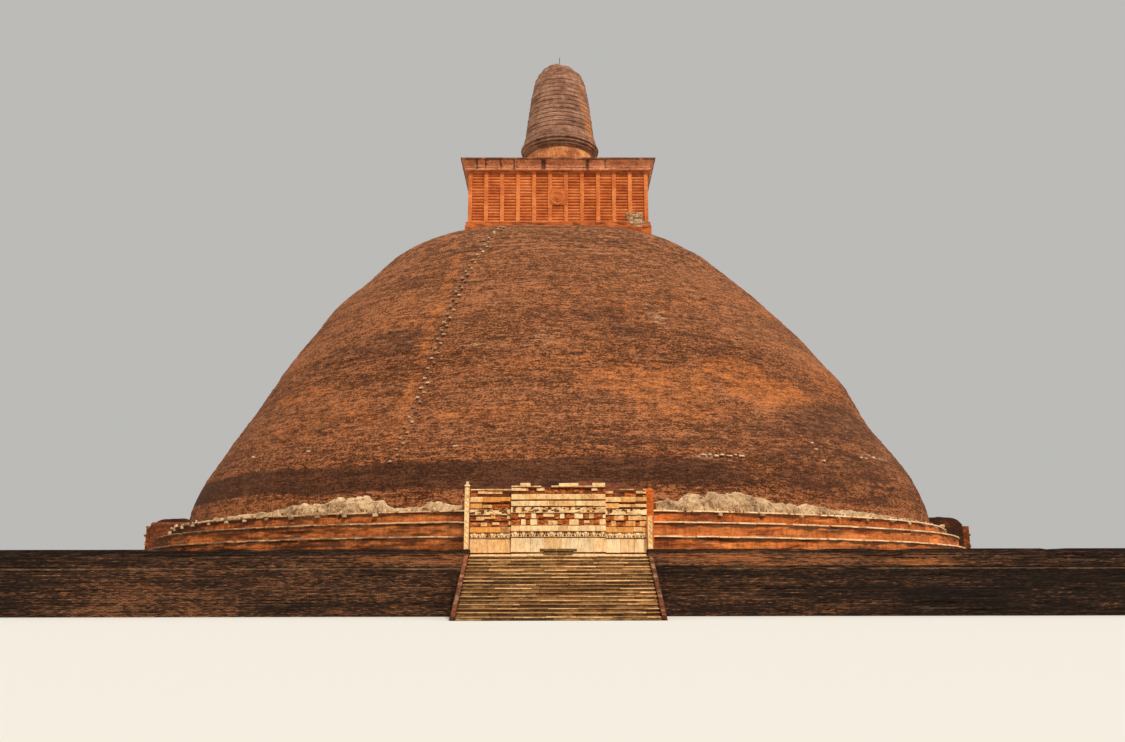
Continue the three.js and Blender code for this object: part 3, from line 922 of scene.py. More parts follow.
ORANGE: Marks = (
    (-44, 22, 10, 1.2, 0.5), (-46, 17.3, 5.8, 1.7, 0.4), (-32, 18.3, 15, 3.4, 0.36),
    (-29, 29.8, 7.4, 0.9, 0.42),
    (-31, 32.8, 8.6, 1.3, 0.3), (33, 21, 10, 2.3, 0.8), (27, 23.4, 7.8, 1.6, 0.6), (12.5, 21, 12, 2.6, 0.55),
    (17, 17.9, 9, 1.3, 0.52), (-9, 17.6, 8.6, 1.3, 0.42), (-5, 22.2, 8, 0.9, 0.36), (15, 31.7, 13, 3.2, 0.32),
    (27, 33.3, 4.2, 2, 0.4), (53, 24.4, 9, 2.3, 0.46), (26, 40.4, 11, 1.3, 0.32), (-23, 37.8, 8.8, 2.3, 0.3),
    (0, 23.5, 11.6, 0.8, 0.36), (50, 35, 12, 3, 0.34))
PALE: Marks = (
    (19.7, 35.5, 1.2, 0.7, 0.4), (17, 29.7, 2.3, 2.6, 0.28), (-2, 26.1, 2, 1.6, 0.3),
    (-8.7, 25.5, 6.5, 0.5, 0.3),
    (28, 34.3, 1.7, 1.1, 0.28), (-16.3, 12.6, 0.3, 1.2, 0.8), (17.3, 13.4, 1.8, 0.25, 0.6),
    (50, 15.1, 6.7, 0.25, 0.5),
    (-25.9, 12.3, 0.3, 0.2, 0.6), (-21.4, 12.9, 0.25, 1.2, 0.4), (-26, 35.2, 1.6, 0.5, 0.28))


@dataclass
class Dome:
    """The great brick dome: rough courses, a smooth dark band near its foot, worn streaks."""

    columns: int = 342
    courses_per_row: int = 3
    undulation: float = 0.16
    roughness: float = 0.06
    band: Span = (10.25, 12.9)
    band_azimuths: Span = (-78, 22)
    patch_azimuths: Span = (24, 72)
    lane_azimuth: float = -19.2
    lane: Span = (-1.9, -0.4)
    squareness: float = 0.4
    # Height, and how far the flank left and the flank right of the front are pushed out there.
    flanks: tuple[tuple[float, float, float], ...] = (
        (9.5, 0.04, 0.38), (13, -0.07, 0.35), (14.75, -0.12, 0.3), (16.5, -0.1, 0.2), (18.25, -0.02, 0.05),
        (20, 0.03, -0.1), (21.75, 0.04, -0.03), (23.5, -0.05, 0.14), (25.25, -0.13, 0.24), (27, -0.17, 0.15),
        (28.75, -0.13, 0), (30.5, -0.12, 0.04), (32.25, -0.18, 0.1), (34, -0.12, 0), (35.75, 0.1, -0.04),
        (37.5, 0.06, 0.04), (39.25, -0.18, -0.02), (42.75, 0.1, -0.12), (44.5, 0.21, -0.28),
        (46.25, 0.08, -0.48), (48, -0.3, -0.2))

    def surface(self) -> tuple[Array, Array, Array, Array, float]:
        """Works out the clean surface.

        Returns:
            Rows of radii, heights, middles and outward slopes, and the spacing of the rows.
        """
        heights, radii, middles = turned_profile("dome")
        fine = np.linspace(heights[0], heights[-1], 1500)
        radius = flowing(fine, heights, radii)
        length = path_lengths(np.stack([radius, fine], -1))
        spacing = DOME_BRICK.brick[1] * self.courses_per_row
        rows = round(length[-1] / spacing)
        along = np.linspace(0, length[-1], rows + 1)
        height = np.interp(along, length, fine)
        radius = np.interp(along, length, radius)
        slope = np.arctan2(-np.gradient(radius, along), np.gradient(height, along))
        return radius, height, flowing(height, heights, middles), slope, spacing

    def build(self, finish: Material) -> None:
        """Makes the dome's brickwork.

        Args:
            finish: the brickwork's material.
        """
        radius, height, middle, slope, spacing = self.surface()
        azimuth = np.linspace(-math.pi, math.pi, self.columns, endpoint=False)
        clean = around(radius[:, None], azimuth, height[:, None], middle[:, None])
        band = self.band_strength(azimuth, height[:, None])
        paint = self.paint(azimuth, height[:, None], radius[:, None], clean, band)
        noise, rng = Noise(3), seeded(5)
        swell = noise(clean, (11, 11, 7), 2) * self.undulation
        rough = noise(clean, (2.6, 2.6, 0.3), 2) * self.roughness
        row_step = rng.uniform(-1, 1, len(height))[:, None] * 0.022 + rng.normal(0, 0.012, clean.shape[:2])
        hollow = ease(noise(clean + 40, (5, 5, 2.2), 2), 0.3, 0.5) * -0.09 - 0.05 * paint[..., 1]
        low, high = height[0], height[-1]
        edge = (ease(height, low, low + 2) * (1 - ease(height, high - 3, high)))[:, None]
        rise = (swell + (rough + row_step + hollow) * (1 - 0.85 * band)) * (0.15 + 0.85 * edge)
        rise += self.bulges(azimuth, height[:, None])
        radius_out = radius[:, None] + rise * np.cos(slope)[:, None]
        height_out = height[:, None] + rise * np.sin(slope)[:, None]
        height_out[0] = height[0]
        points = around(radius_out, azimuth, height_out, middle[:, None])
        piece = Piece("dome_brickwork")
        length = DOME_BRICK.brick[0]
        bricks_round = np.round(2 * math.pi * (radius[1:] + radius[:-1]) / 2 / length)
        share = np.linspace(0, 1, self.columns + 1)
        across = bricks_round[:, None] * length * share
        piece.grid(points, across, spacing * np.arange(len(height)), paint, wrap=True, caps=True, smooth=True)
        piece.make([finish], ["dome"])

    def band_strength(self, azimuth: Array, height: Array) -> Array:
        """Says how much of the smooth dark band shows.

        Args:
            azimuth: azimuths in radians, for each column.
            height: heights, for each row.

        Returns:
            A strength between 0 and 1 for each point.
        """
        degrees = np.degrees(azimuth)
        wave = 0.25 * np.sin(degrees / 11) + 0.15 * np.sin(degrees / 3.7)
        tall = within(height, self.band[0] + wave, self.band[1] + wave * 0.8, 0.22)
        strong = within(degrees, *self.band_azimuths, 6)
        patch = 0.5 + 0.9 * Noise(14)(around(50.0, azimuth, height), (6, 6, 1.1), 2)
        right = within(degrees, *self.patch_azimuths, 6) * within(height, 9.3, 13.3 + wave, 0.4) * patch
        return unit(np.maximum(tall * (0.4 + 0.6 * strong), right))

    def bulges(self, azimuth: Array, height: Array) -> Array:
        """Pushes the flanks in and out and squares the top towards the chamber's corners.

        Args:
            azimuth: azimuths in radians, for each column.
            height: heights, for each row.

        Returns:
            How far each point is pushed out.
        """
        corners = ease(height, 41, 46) * (1 - 0.5 * ease(height, 47.9, 48.8))
        total = -self.squareness * np.cos(4 * azimuth) * corners
        degrees = np.degrees(azimuth)
        level, left, right = np.array(self.flanks).T
        for side, push in ((-72, left), (72, right)):
            total = total + hill(degrees, side, 22) * flowing(height, level, push)
        return total

    @staticmethod
    def marks(degrees: Array, height: Array, places: Marks) -> Array:
        """Lays soft-edged marks, of which the strongest shows.

        Args:
            degrees: azimuth of each point.
            height: height of each point.
            places: the marks.

        Returns:
            The strength of the strongest mark at each point.
        """
        total = np.zeros_like(degrees)
        for azimuth, level, wide, tall, strength in places:
            away = np.hypot((degrees - azimuth) / wide, (height - level) / tall)
            total = np.maximum(total, strength * (1 - ease(away, 0.6, 1.3)))
        return total

    def paint(self, azimuth: Array, height: Array, radius: Array, clean: Array, band: Array) -> Array:
        """Lays tone, dark stain with painted shade on the flanks, worn orange and pale marks on the surface.

        Args:
            azimuth: azimuths in radians, for each column.
            height: heights, for each row.
            radius: radii, for each row.
            clean: places on the smooth surface.
            band: how much of the dark band shows at each point.

        Returns:
            The paint of each point.
        """
        degrees, height = np.broadcast_arrays(np.degrees(azimuth), height)
        noise = Noise(8)
        tone = 0.48 + 0.24 * noise(clean, (16, 16, 4), 3) + 0.18 * noise(clean, (5, 5, 0.5), 2)
        tone = tone + 0.12 * (1 - ease(height, 9.2, 10.4)) - 0.04 * ease(height, 38, 44)
        tone = tone + 0.13 * ease(np.abs(degrees), 22, 42) * within(height, 24, 40, 4)
        # The shallow top is seen as single courses, so its tones are coarser.
        coarse = seeded(9).normal(0, 0.3, tone.shape) + 0.5 * noise(clean, (2.5, 0.9, 0.35), 2)
        tone = tone + coarse * ease(height, 35, 43)
        hidden = 1 - within(degrees, -76, 76, 10)
        aside = np.radians(degrees - self.lane_azimuth) * radius
        lane = within(aside, *self.lane, 0.5) * within(height, 12.9, 40, 2.5)
        ragged = 0.9 + 0.35 * noise(clean + 9, (3, 3, 1.2), 2)
        elsewhere = ease(noise(clean + 33, (10, 10, 2.6), 3), 0.1, 0.45) * (0.2 + 0.4 * hidden)
        worn = np.maximum.reduce([lane * ragged * 0.6, elsewhere, self.marks(degrees, height, ORANGE)])
        # The flanks seen at the edges from the front are painted darker, as painted shade added to the soot.
        flanks = 0.4 * hill(degrees, -88, 22) + 0.4 * hill(degrees, 86, 20)
        soot_and_flank_shade = ease(noise(clean - 21, (9, 9, 2.4), 3), 0.12, 0.5) * (0.25 + 0.45 * hidden)
        soot_and_flank_shade = np.maximum(soot_and_flank_shade, self.marks(degrees, height, SOOT)) + flanks * (1 - hidden)
        stain = np.maximum(band, soot_and_flank_shade - lane * 0.7)
        pale = self.marks(degrees, height, PALE)
        return unit(coat(tone, stain, worn * (1 - stain), pale))


@dataclass
class ClimbingStones:
    """Projecting stones that climb the dome's front like a ladder."""

    pitch: float = 0.66
    sideways: float = 0.25
    half: tuple[float, float, float] = (0.13, 0.24, 0.085)
    path: tuple[tuple[float, float], ...] = (
        (12.9, -19.5), (14, -19.1), (18, -18.8), (22.7, -18.8), (26, -18.4), (28.3, -18.2), (33, -17.9),
        (35.4, -17.6), (37.9, -17.1), (39.8, -16.5), (40.9, -16.2), (42, -17.5),
        (42.8, -17.2), (43.5, -16.1), (44.1, -15.4), (45.1, -15.6))
    # Azimuth and height of small pale stones bared near the foot.
    bared: tuple[tuple[float, float], ...] = (
        (17.1, 13.44), (17.9, 13.5), (18.7, 13.4), (19.5, 13.53), (20.4, 13.46), (21.3, 13.6), (22.1, 13.53),
        (34.8, 15.6), (34.9, 14.9), (35.3, 13.7), (44.7, 14.7), (46.1, 14.7), (48.8, 15.0), (-33, 14.6),
        (-12, 14.2),
        (-45.5, 14.9), (158, 13.6), (160, 13.4), (171, 13.5), (203, 14.4), (-100, 13.9), (104, 14.2))

    def build(self, dome: Dome, finish: Material) -> None:
        """Sets the stones on the dome's surface.

        Args:
            dome: the dome that they stand on.
            finish: their material.
        """
        radius, height, middle, _, spacing = dome.surface()
        knots, azimuths = np.array(self.path).T
        rng = seeded(21)
        stones, turns = Blocks(), []
        along = spacing * np.arange(len(height))
        start, end = np.interp([knots[0], knots[-1]], height, along)
        for number, place in enumerate(np.arange(start, end, self.pitch)):
            level = np.interp(place, along, height)
            out = np.interp(place, along, radius)
            aside = self.sideways * (1 if number % 2 else -1) + rng.uniform(-0.05, 0.05)
            azimuth = math.radians(np.interp(level, knots, azimuths)) + aside / out
            size = np.array(self.half) * rng.uniform(0.85, 1.2, 3)
            stones.add(around(out, azimuth, level, np.interp(level, height, middle)), size,
                       (rng.random(), 0, 0, rng.uniform(0, 0.4)))
            turns.append(azimuth)
        for degrees, level in self.bared:
            azimuth = math.radians(degrees)
            stones.add(around(np.interp(level, height, radius), azimuth, level,
                              np.interp(level, height, middle)),
                       (rng.uniform(0.12, 0.3), rng.uniform(0.15, 0.2), rng.uniform(0.04, 0.09)),
                       (rng.uniform(0.6, 1), 0, 0, 0.5))
            turns.append(azimuth)
        piece = Piece("dome_climbing_stones")
        piece.blocks(stones, rng, chamfer=0.03, jitter=0.02, turns=turn_about_z(np.array(turns)))
        piece.make([finish])


@dataclass
class BasalTier:
    """One round tier: a brick riser in four arcs under a course of stone slabs."""

    name: str
    behind: str
    slab: Span = (0.8, 1.7)
    row: float = 0.1
    step: float = 0.5
    footing: float = 0.2
    gone: float = 0.03
    thickness: float = 0.76
    lightness: float = 0.56
    # Azimuth in degrees and how dark the riser is there.
    stained: tuple[tuple[float, float], ...] = (
        (-180, 0.4), (-90, 1), (-56, 1), (-46, 0.62), (-20, 0.6), (0, 0.4), (22, 0.16), (90, 0.16),
        (180, 0.4))

    def __post_init__(self) -> None:
        """Reads the tier's sizes from the frame."""
        low, high = real_box(f"basal_tier_{self.name}")
        self.radius, self.foot, self.top = high[0], low[2], high[2]
        self.edge, self.cover = real_box(f"coping_{self.name}")[1][[0, 2]]
        self.bed = self.cover - self.thickness * (self.cover - self.top)
        self.inner = (turned_profile("dome")[1].max() if self.behind == "dome"
                      else real_box(f"basal_tier_{self.behind}")[1][0])

    def arcs(self) -> list[tuple[int, float, float]]:
        """Gives each side's number with the azimuths where its arc starts and ends."""
        room_low, room_high = real_box("frontispiece_masonry_front")
        start = math.asin(room_high[0] / self.radius)
        end = math.pi / 2 - math.asin(-room_low[0] / self.radius)
        return [(side, side * math.pi / 2 + start, side * math.pi / 2 + end) for side in range(4)]

    def stain(self, azimuth: Array) -> Array:
        """Says how dark the riser is: the left is damp and the right is bright."""
        degrees, dark = np.array(self.stained).T
        return np.interp((np.degrees(azimuth) + 180) % 360 - 180, degrees, dark)

    def build(self, brick: Material, stone: Material) -> None:
        """Makes the riser and the slabs.

        Args:
            brick: the riser's material.
            stone: the slabs' material.
        """
        riser = Piece(f"basal_tier_{self.name}_brickwork")
        noise = Noise(30 + len(self.name))
        for _, start, end in self.arcs():
            azimuth = np.linspace(start, end, round((end - start) * self.radius / self.step) + 1)
            height = np.linspace(self.foot - self.footing, self.bed,
                                 round((self.top - self.foot) / self.row) + 1)
            clean = around(self.radius, azimuth, height[:, None])
            rows = seeded(31).uniform(-0.016, 0.016, len(height))[:, None]
            out = self.radius + rows + 0.035 * noise(clean, (1.8, 1.8, 0.25), 2) + 0.03 * noise(clean, 7)
            out -= 0.13 * ease(noise(clean + 50, (3, 3, 0.8), 2), 0.3, 0.45)
            # The riser's top, just under the projecting slabs, is painted dark as painted shade.
            fringe = self.top - 0.35 + 0.25 * noise(clean, (1.2, 1.2, 9), 2)
            under = ease(height[:, None] - fringe, 0, 0.2)
            patch = 0.9 * noise(clean, (6, 6, 1.2), 3)
            stain = unit(np.maximum(self.stain(azimuth) + patch, under))
            tone = unit(self.lightness + 0.4 * noise(clean, (4, 4, 0.5), 2))
            worn = unit(0.25 + 0.7 * noise(clean - 30, (5, 5, 1.2), 2)) * (1 - 0.7 * stain)
            paint = coat(tone, stain, worn)
            riser.strip(out, azimuth, height, self.inner - 0.4, self.foot - self.footing, around,
                        across=azimuth * self.radius, paint=paint)
        riser.make([brick], [f"basal_tier_{self.name}"])
        self.build_coping(stone)

    def build_coping(self, stone: Material) -> None:
        """Lays the slabs, a few of them broken or gone.

        Args:
            stone: the slabs' material.
        """
        rng = seeded(40 + len(self.name))
        slabs, turns = Blocks(), []
        inner = self.inner - 0.3
        for _, start, end in self.arcs():
            azimuth = start
            while azimuth < end - 0.006:
                width = min(rng.uniform(*self.slab) / self.edge, end - azimuth)
                middle = azimuth + width / 2
                azimuth += width
                if rng.random() < self.gone:
                    continue
                edge = self.edge + rng.uniform(-0.07, 0.02) - (rng.random() < 0.12) * rng.uniform(0.1, 0.5)
                lift = rng.uniform(-0.02, 0.008)
                darker = max(0.0, 0.2 - 1.2 * math.sin(middle)) * rng.uniform(0.6, 1.25)
                darker *= math.cos(middle) > -0.2
                slabs.add(around((edge + inner) / 2, middle, (self.bed + self.cover) / 2 + lift),
                          (width * self.edge / 2 - 0.008, (edge - inner) / 2, (self.cover - self.bed) / 2),
                          (rng.uniform(0.3, 0.75), darker, 0, max(0.0, rng.uniform(0.2, 0.8) - 2 * darker)))
                turns.append(middle)
        piece = Piece(f"coping_{self.name}_slabs")
        piece.blocks(slabs, rng, chamfer=0.025, jitter=0.012, turns=turn_about_z(np.array(turns)))
        piece.make([stone], [f"coping_{self.name}"])


@dataclass
class Brackets:
    """Short stone corbels under the top tier's slabs."""

    left: tuple[float, ...] = (-19.3, -23.1, -26.6, -30.3, -34.2, -38.1, -41.9, -46.2, -51.0, -55.5, -60.5)
    right: tuple[float, ...] = (16.9, 21.9, 26.9, 32.4, 37.4, 42.4, 46.9, 52.0, 57.0)
    pitch: float = 4.6
    half: tuple[float, float, float] = (0.18, 0.33, 0.13)
    # Degrees on each side of a frontispiece that have no corbel.
    clear: float = 9.5

    def build(self, tier: BasalTier, finish: Material) -> None:
        """Sets the corbels round the top tier.

        Args:
            tier: the tier that they stand under.
            finish: their material.
        """
        rng = seeded(50)
        elsewhere = np.arange(66, 360 - 66, self.pitch)
        stones, turns = Blocks(), []
        for degrees in (*self.left, *self.right, *elsewhere):
            azimuth = math.radians(degrees)
            if min(abs(degrees - quarter) for quarter in (0, 90, 180, 270)) <= self.clear:
                continue
            size = np.array(self.half) * rng.uniform(0.8, 1.15, 3)
            stones.add(around(tier.radius, azimuth, tier.bed - size[2] - 0.02), size,
                       (rng.random(), 0, 0, rng.uniform(0, 0.5)))
            turns.append(azimuth)
        piece = Piece("basal_tier_brackets")
        piece.blocks(stones, rng, chamfer=0.04, jitter=0.03, turns=turn_about_z(np.array(turns)))
        piece.make([finish])


@dataclass
class MortarRemains:
    """Rocky mortar and rubble left against the dome's foot."""

    side: str
    hand: str
    step: float = 0.13
    rows: int = 18
    reach: float = 1.15
    loose_stones: int = 110

    def crest(self) -> tuple[Array, Array, float]:
        """Reads from the frame how high the heap stands at each azimuth, and its bed.

        Returns:
            The azimuths, the heap's height at each of them, and the height of its bed.
        """
        points = quarter_turn(node_points(f"mortar_remains_{self.side}_{self.hand}"), self.side)
        azimuth = np.round(np.arctan2(points[:, 0], -points[:, 1]), 2)
        places = np.unique(azimuth)
        return places, np.array([points[azimuth == place, 2].max() for place in places]), points[:, 2].min()

    def build(self, finish: Material) -> None:
        """Makes the heap and its loose stones.

        Args:
            finish: the mortar's material.
        """
        seed = 60 + SIDES.index(self.side) + 7 * (self.hand == "left")
        noise, rng = Noise(seed), seeded(seed)
        places, tops, bed = self.crest()
        foot = turned_profile("dome")[1].max()
        azimuth = np.arange(places[0], places[-1], self.step / foot)
        tall = np.interp(azimuth, places, tops) - bed
        ground = around(foot, azimuth, bed)
        tall = tall * (0.95 + 0.2 * noise(ground, 2.4, 2) + 0.25 * noise(ground, 0.6, 2)) + 0.05
        share = np.linspace(0, 1, self.rows)[:, None]
        out = foot + self.reach * (0.55 + 0.45 * ease(tall, 0.1, 1.2)) * (1 - share**1.7)
        height = bed + tall * (1 - (1 - share) ** 1.6)
        clean = around(out, azimuth, height)
        crag = 1 - 2 * np.abs(noise(clean, (1.2, 1.2, 1.6), 2))
        crack = 3 * np.abs(noise(clean + 5, (0.4, 0.4, 0.6), 2)) - 0.5
        fade = ease(share, 0, 0.25)
        out = out + (crag * 0.24 + crack * 0.07 - 0.1) * (0.35 + ease(tall, 0, 1)) * (0.4 + 0.6 * fade)
        height = height + fade * noise(clean + 7, 0.45, 2) * 0.2 * ease(tall, 0, 0.7)
        height = np.maximum(height, bed)
        # Clefts and cracks are painted dark as painted shade, and the crest is painted pale as a painted
        # highlight.
        cleft_shade = 0.3 * ease(-crag, -0.4, 0.2) + 0.4 * ease(-crack, 0.1, 0.45)
        streaks = unit(0.15 + 0.9 * noise(clean, (0.5, 0.5, 3), 2))
        crest_highlight = ease(share, 0.55, 1.0)
        tone = unit(0.5 + 0.6 * noise(clean, 1.2, 3))
        stain = unit(cleft_shade + 0.5 * streaks) * (1 - 0.6 * crest_highlight)
        paint = coat(tone, stain, 0.4 * streaks, crest_highlight * 0.6)
        heap = Piece("heap")
        heap.strip(out, azimuth, height, foot - 0.55, bed, around, across=azimuth * foot, paint=paint)
        heap.blocks(*self.rubble(azimuth, foot, bed, rng))
        heap.make_at(self.side, [finish], "mortar", f"mortar_remains_{self.side}_{self.hand}", "heap")

    def rubble(self, azimuth: Array, foot: float, bed: float, rng: Random) -> tuple:
        """Scatters loose stones on the ledge in front of the heap.

        Args:
            azimuth: azimuths of the heap's columns.
            foot: radius of the dome's foot.
            bed: height of the ledge.
            rng: source of random numbers.

        Returns:
            The stones and the source of random numbers.
        """
        stones = Blocks()
        for _ in range(self.loose_stones):
            size = rng.uniform(0.05, 0.17, 3)
            place = rng.uniform(azimuth[0], azimuth[-1])
            stones.add(around(foot + rng.uniform(0.5, 2.0), place, bed + size[2] * 0.8), size,
                       (rng.random(), 0, 0, rng.uniform(0, 0.7)))
        return stones, rng


def square_ring(piece: Piece, profile: Array, steps: int, shift: Callable[[Array], Array],
                paint: Callable[[Array], Array], inner: float) -> None:
    """Adds a closed moulding round a square.

    Args:
        piece: the piece that gets it.
        profile: distance out and height of its face, from foot to top.
        steps: columns on each side of the square.
        shift: how far each point of the face stands out further.
        paint: paint for each point of the face.
        inner: half width of the hole inside.
    """
    along = np.linspace(-1, 1, steps, endpoint=False)
    out, height = profile[:, :1], profile[:, 1:]
    clean = np.concatenate([quarter_turn(straight(out, along * out, height), side) for side in SIDES], 1)
    face = out + shift(clean)
    rows = []
    for turn, side in enumerate(SIDES):
        part = face[:, turn * steps:(turn + 1) * steps]
        points = straight(part, along * part, height)
        back = straight(np.full((2, 1), inner), along * inner, np.array([[profile[-1, 1]], [profile[0, 1]]]))
        rows.append(quarter_turn(np.concatenate([points, back]), side))
    points = np.concatenate(rows, 1)
    length = path_lengths(profile)
    up = np.concatenate([profile[0, 1] + length, profile[0, 1] + length[-1] + np.array([2, 4, 6])])
    across = np.arange(4 * steps + 1) * 2 * profile[:, 0].max() / steps
    dab = paint(clean)
    piece.grid(points, across, up, np.concatenate([dab, dab[-1:], dab[:1]]), wrap=True, loop=True)


def filled(profile: Sequence[tuple[float, ...]], spacing: float) -> Array:
    """Adds points to a profile so that none lie further apart than the spacing.

    Args:
        profile: distance out and height of its corners, and what else they carry.
        spacing: the widest gap that stays.

    Returns:
        The profile with its new points.
    """
    corners = np.array(profile, float)
    parts = [np.linspace(a, b, max(1, round(math.dist(a[:2], b[:2]) / spacing)), endpoint=False)
             for a, b in zip(corners[:-1], corners[1:])]
    return np.concatenate([*parts, corners[-1:]])


@dataclass
class RelicChamber:
    """The square chamber: plinth, pilasters, rails between them, sun disc and cornice."""

    pilasters: int = 12
    pilaster: float = 0.53
    panel_depth: float = 0.3
    rails: float = 17.6
    rail_share: float = 0.8
    rail_proud: float = 0.17
    plate_half: float = 1.17
    plate_height: float = 52.8
    disc_middle: tuple[float, float] = (-0.1, 52.7)
    disc: tuple[tuple[float, float], ...] = (
        (1.02, -0.05), (1.02, 0.05), (0.97, 0.08), (0.86, 0.08), (0.8, 0.04), (0.42, 0.04), (0.33, 0.08),
        (0.24, 0.15), (0.1, 0.17))
    cornice: tuple[tuple[float, float], ...] = (
        (12.3, 0.0), (12.58, 0.06), (12.62, 0.14), (12.62, 0.34), (12.5, 0.4), (12.58, 0.68), (12.72, 0.95),
        (12.92, 1.2), (13.12, 1.38), (13.2, 1.42), (13.2, 1.6))
    # Starts and ends in X of the repaired courses in the chamber and in its plinth, and their height.
    repaired: Span = (9.08, 11.37)
    repaired_plinth: Span = (9.62, 12.05)
    repair_course: float = 0.24
    # X and breadth of the dark runs on the front of the cornice.
    runs: tuple[tuple[float, float], ...] = (
        (-11.0, 0.12), (-9.8, 0.11), (-7.8, 0.1), (-6.0, 0.12), (-5.6, 0.06), (-1.95, 0.4), (3.95, 0.26),
        (6.43, 0.1))

    def __post_init__(self) -> None:
        """Reads the chamber's sizes from the frame."""
        low, high = real_box("chamber")
        self.half, self.foot, self.top = high[0], low[2], high[2]
        self.back = self.half - self.panel_depth
        self.pitch = (2 * self.half - self.pilaster) / (self.pilasters - 1)

    def build(self, finish: Material, patch: Material, cornice: Material) -> None:
        """Makes plinth, chamber and cornice.

        Args:
            finish: the brick's material.
            patch: the repair's material.
            cornice: the cornice's material.
        """
        self.build_plinth(finish)
        chamber = Piece("relic_chamber_walls")
        for side in SIDES:
            chamber.take(self.wall(side), side)
        chamber.make([finish, patch], ["chamber"])
        self.build_cornice(cornice)

    def wall(self, side: str) -> Piece:
        """Makes one side's wall with its pilasters, rails and disc, as if it were the front.

        Args:
            side: the side of the chamber.

        Returns:
            The wall.
        """
        part = Piece("wall")
        rng = seeded(70 + SIDES.index(side))
        noise = Noise(71 + SIDES.index(side))
        reach = self.back + 0.02
        along = np.linspace(-reach, reach, 24)
        height = np.linspace(self.foot, self.top, 19)
        # The back between the pilasters is painted dark, as painted shade in the deep slots between the
        # rails.
        part.strip(self.back, along, height, self.back - 0.5, self.foot, straight,
                   paint=np.array([0.2, 0.12, 0, 0]))
        for number in range(self.pilasters - 1):
            left = -self.half + number * self.pitch
            depth = self.half - self.pilaster if number == 0 else self.back - 0.1
            self.upright(part, (left, left + self.pilaster), depth, noise)
            self.panel(part, (left + self.pilaster, left + self.pitch), rng, noise)
        self.sun_disc(part, rng, noise)
        if side == "front":
            self.repair(part, rng)
        return part

    def upright(self, part: Piece, x: Span, back: float, noise: Noise) -> None:
        """Adds one pilaster.

        Args:
            part: the piece that gets it.
            x: its span in X.
            back: how far out its back is.
            noise: the side's noise.
        """
        along = np.linspace(*x, 4)
        height = np.linspace(self.foot, self.top, 37)
        clean = straight(self.half, along, height[:, None])
        out = self.half - 0.012 + 0.02 * noise(clean, (0.8, 0.8, 0.3), 2)
        tone = unit(0.62 + 0.45 * noise(clean, (1.2, 1.2, 2.2), 2))
        # The top 1.2 m is painted darker, as painted shadow under the cornice.
        foot = 0.25 * ease(height, self.top - 1.2, self.top)[:, None]
        part.strip(out, along, height, back, self.foot, straight, paint=coat(tone, foot * 0.6, 0.15))

    def panel(self, part: Piece, x: Span, rng: Random, noise: Noise) -> None:
        """Adds the rounded rails of one panel.

        Args:
            part: the piece that gets it.
            x: its span in X.
            rng: source of random numbers.
            noise: the side's noise.
        """
        pitch = (self.top - self.foot) / self.rails
        turn = np.linspace(-1.25, 1.25, 5)
        along = np.linspace(x[0] - 0.02, x[1] + 0.02, 4)
        for number in range(round(self.rails)):
            middle = self.foot + (number + 0.5) * pitch + rng.uniform(-0.012, 0.012)
            half = pitch * self.rail_share / 2 * rng.uniform(0.95, 1.05)
            worn = rng.uniform(0.9, 1.05)
            clean = straight(self.back, along, np.full(4, middle))
            wave = 0.03 * noise(clean, 0.6, 2)
            out = self.back + self.rail_proud * worn * np.cos(turn * 0.95)[:, None] + wave
            height = middle + half * np.sin(turn)[:, None] / math.sin(1.25) + wave * 0.5
            height = np.minimum(height, self.top - 0.002 * (5 - np.arange(5))[:, None])
            tone = unit(0.5 + rng.uniform(-0.2, 0.2) + noise(clean, 1.1, 2) * 0.5)
            # Rails in the top 1.2 m are painted darker, as painted shadow under the cornice; rails towards +X
            # are darker too.
            stain = 0.2 * ease(middle, self.top - 1.2, self.top) + 0.25 * ease(x[0], 4, 10)
            part.strip(out, along, height, self.back - 0.06, middle - half, straight,
                       paint=coat(tone, stain, 0.1))

    def sun_disc(self, part: Piece, rng: Random, noise: Noise) -> None:
        """Adds the plain square in the middle panel and the ringed disc on it.

        Args:
            part: the piece that gets it.
            rng: source of random numbers.
            noise: the side's noise.
        """
        plate = Blocks()
        low, high = self.plate_height - self.plate_half, self.plate_height + self.plate_half
        plate.front((-self.plate_half, self.plate_half), (low, high), (self.back - 0.1, self.half + 0.03),
                    (0.35, 0.1, 0.2, 0))
        part.blocks(plate, rng, chamfer=0.04)
        radius, proud = np.array(self.disc).T
        angle = np.linspace(0, 2 * math.pi, 40, endpoint=False)
        x = radius[:, None] * np.cos(angle)
        x, z = x + self.disc_middle[0], self.disc_middle[1] + radius[:, None] * np.sin(angle)
        petals = 0.018 * np.cos(angle * 16) * within(radius, 0.42, 0.78, 0.05)[:, None]
        clean = straight(self.half, x, z)
        out = self.half + 0.03 + proud[:, None] + petals + 0.012 * noise(clean, 0.4, 2)
        tone = unit(0.55 + 0.4 * noise(clean, 0.7, 2))
        dark = 0.3 * (1 - ease(proud, 0.05, 0.08))[:, None]
        part.grid(straight(out, x, z), np.append(angle, 2 * math.pi), radius, coat(tone, dark),
                  wrap=True, caps=True)

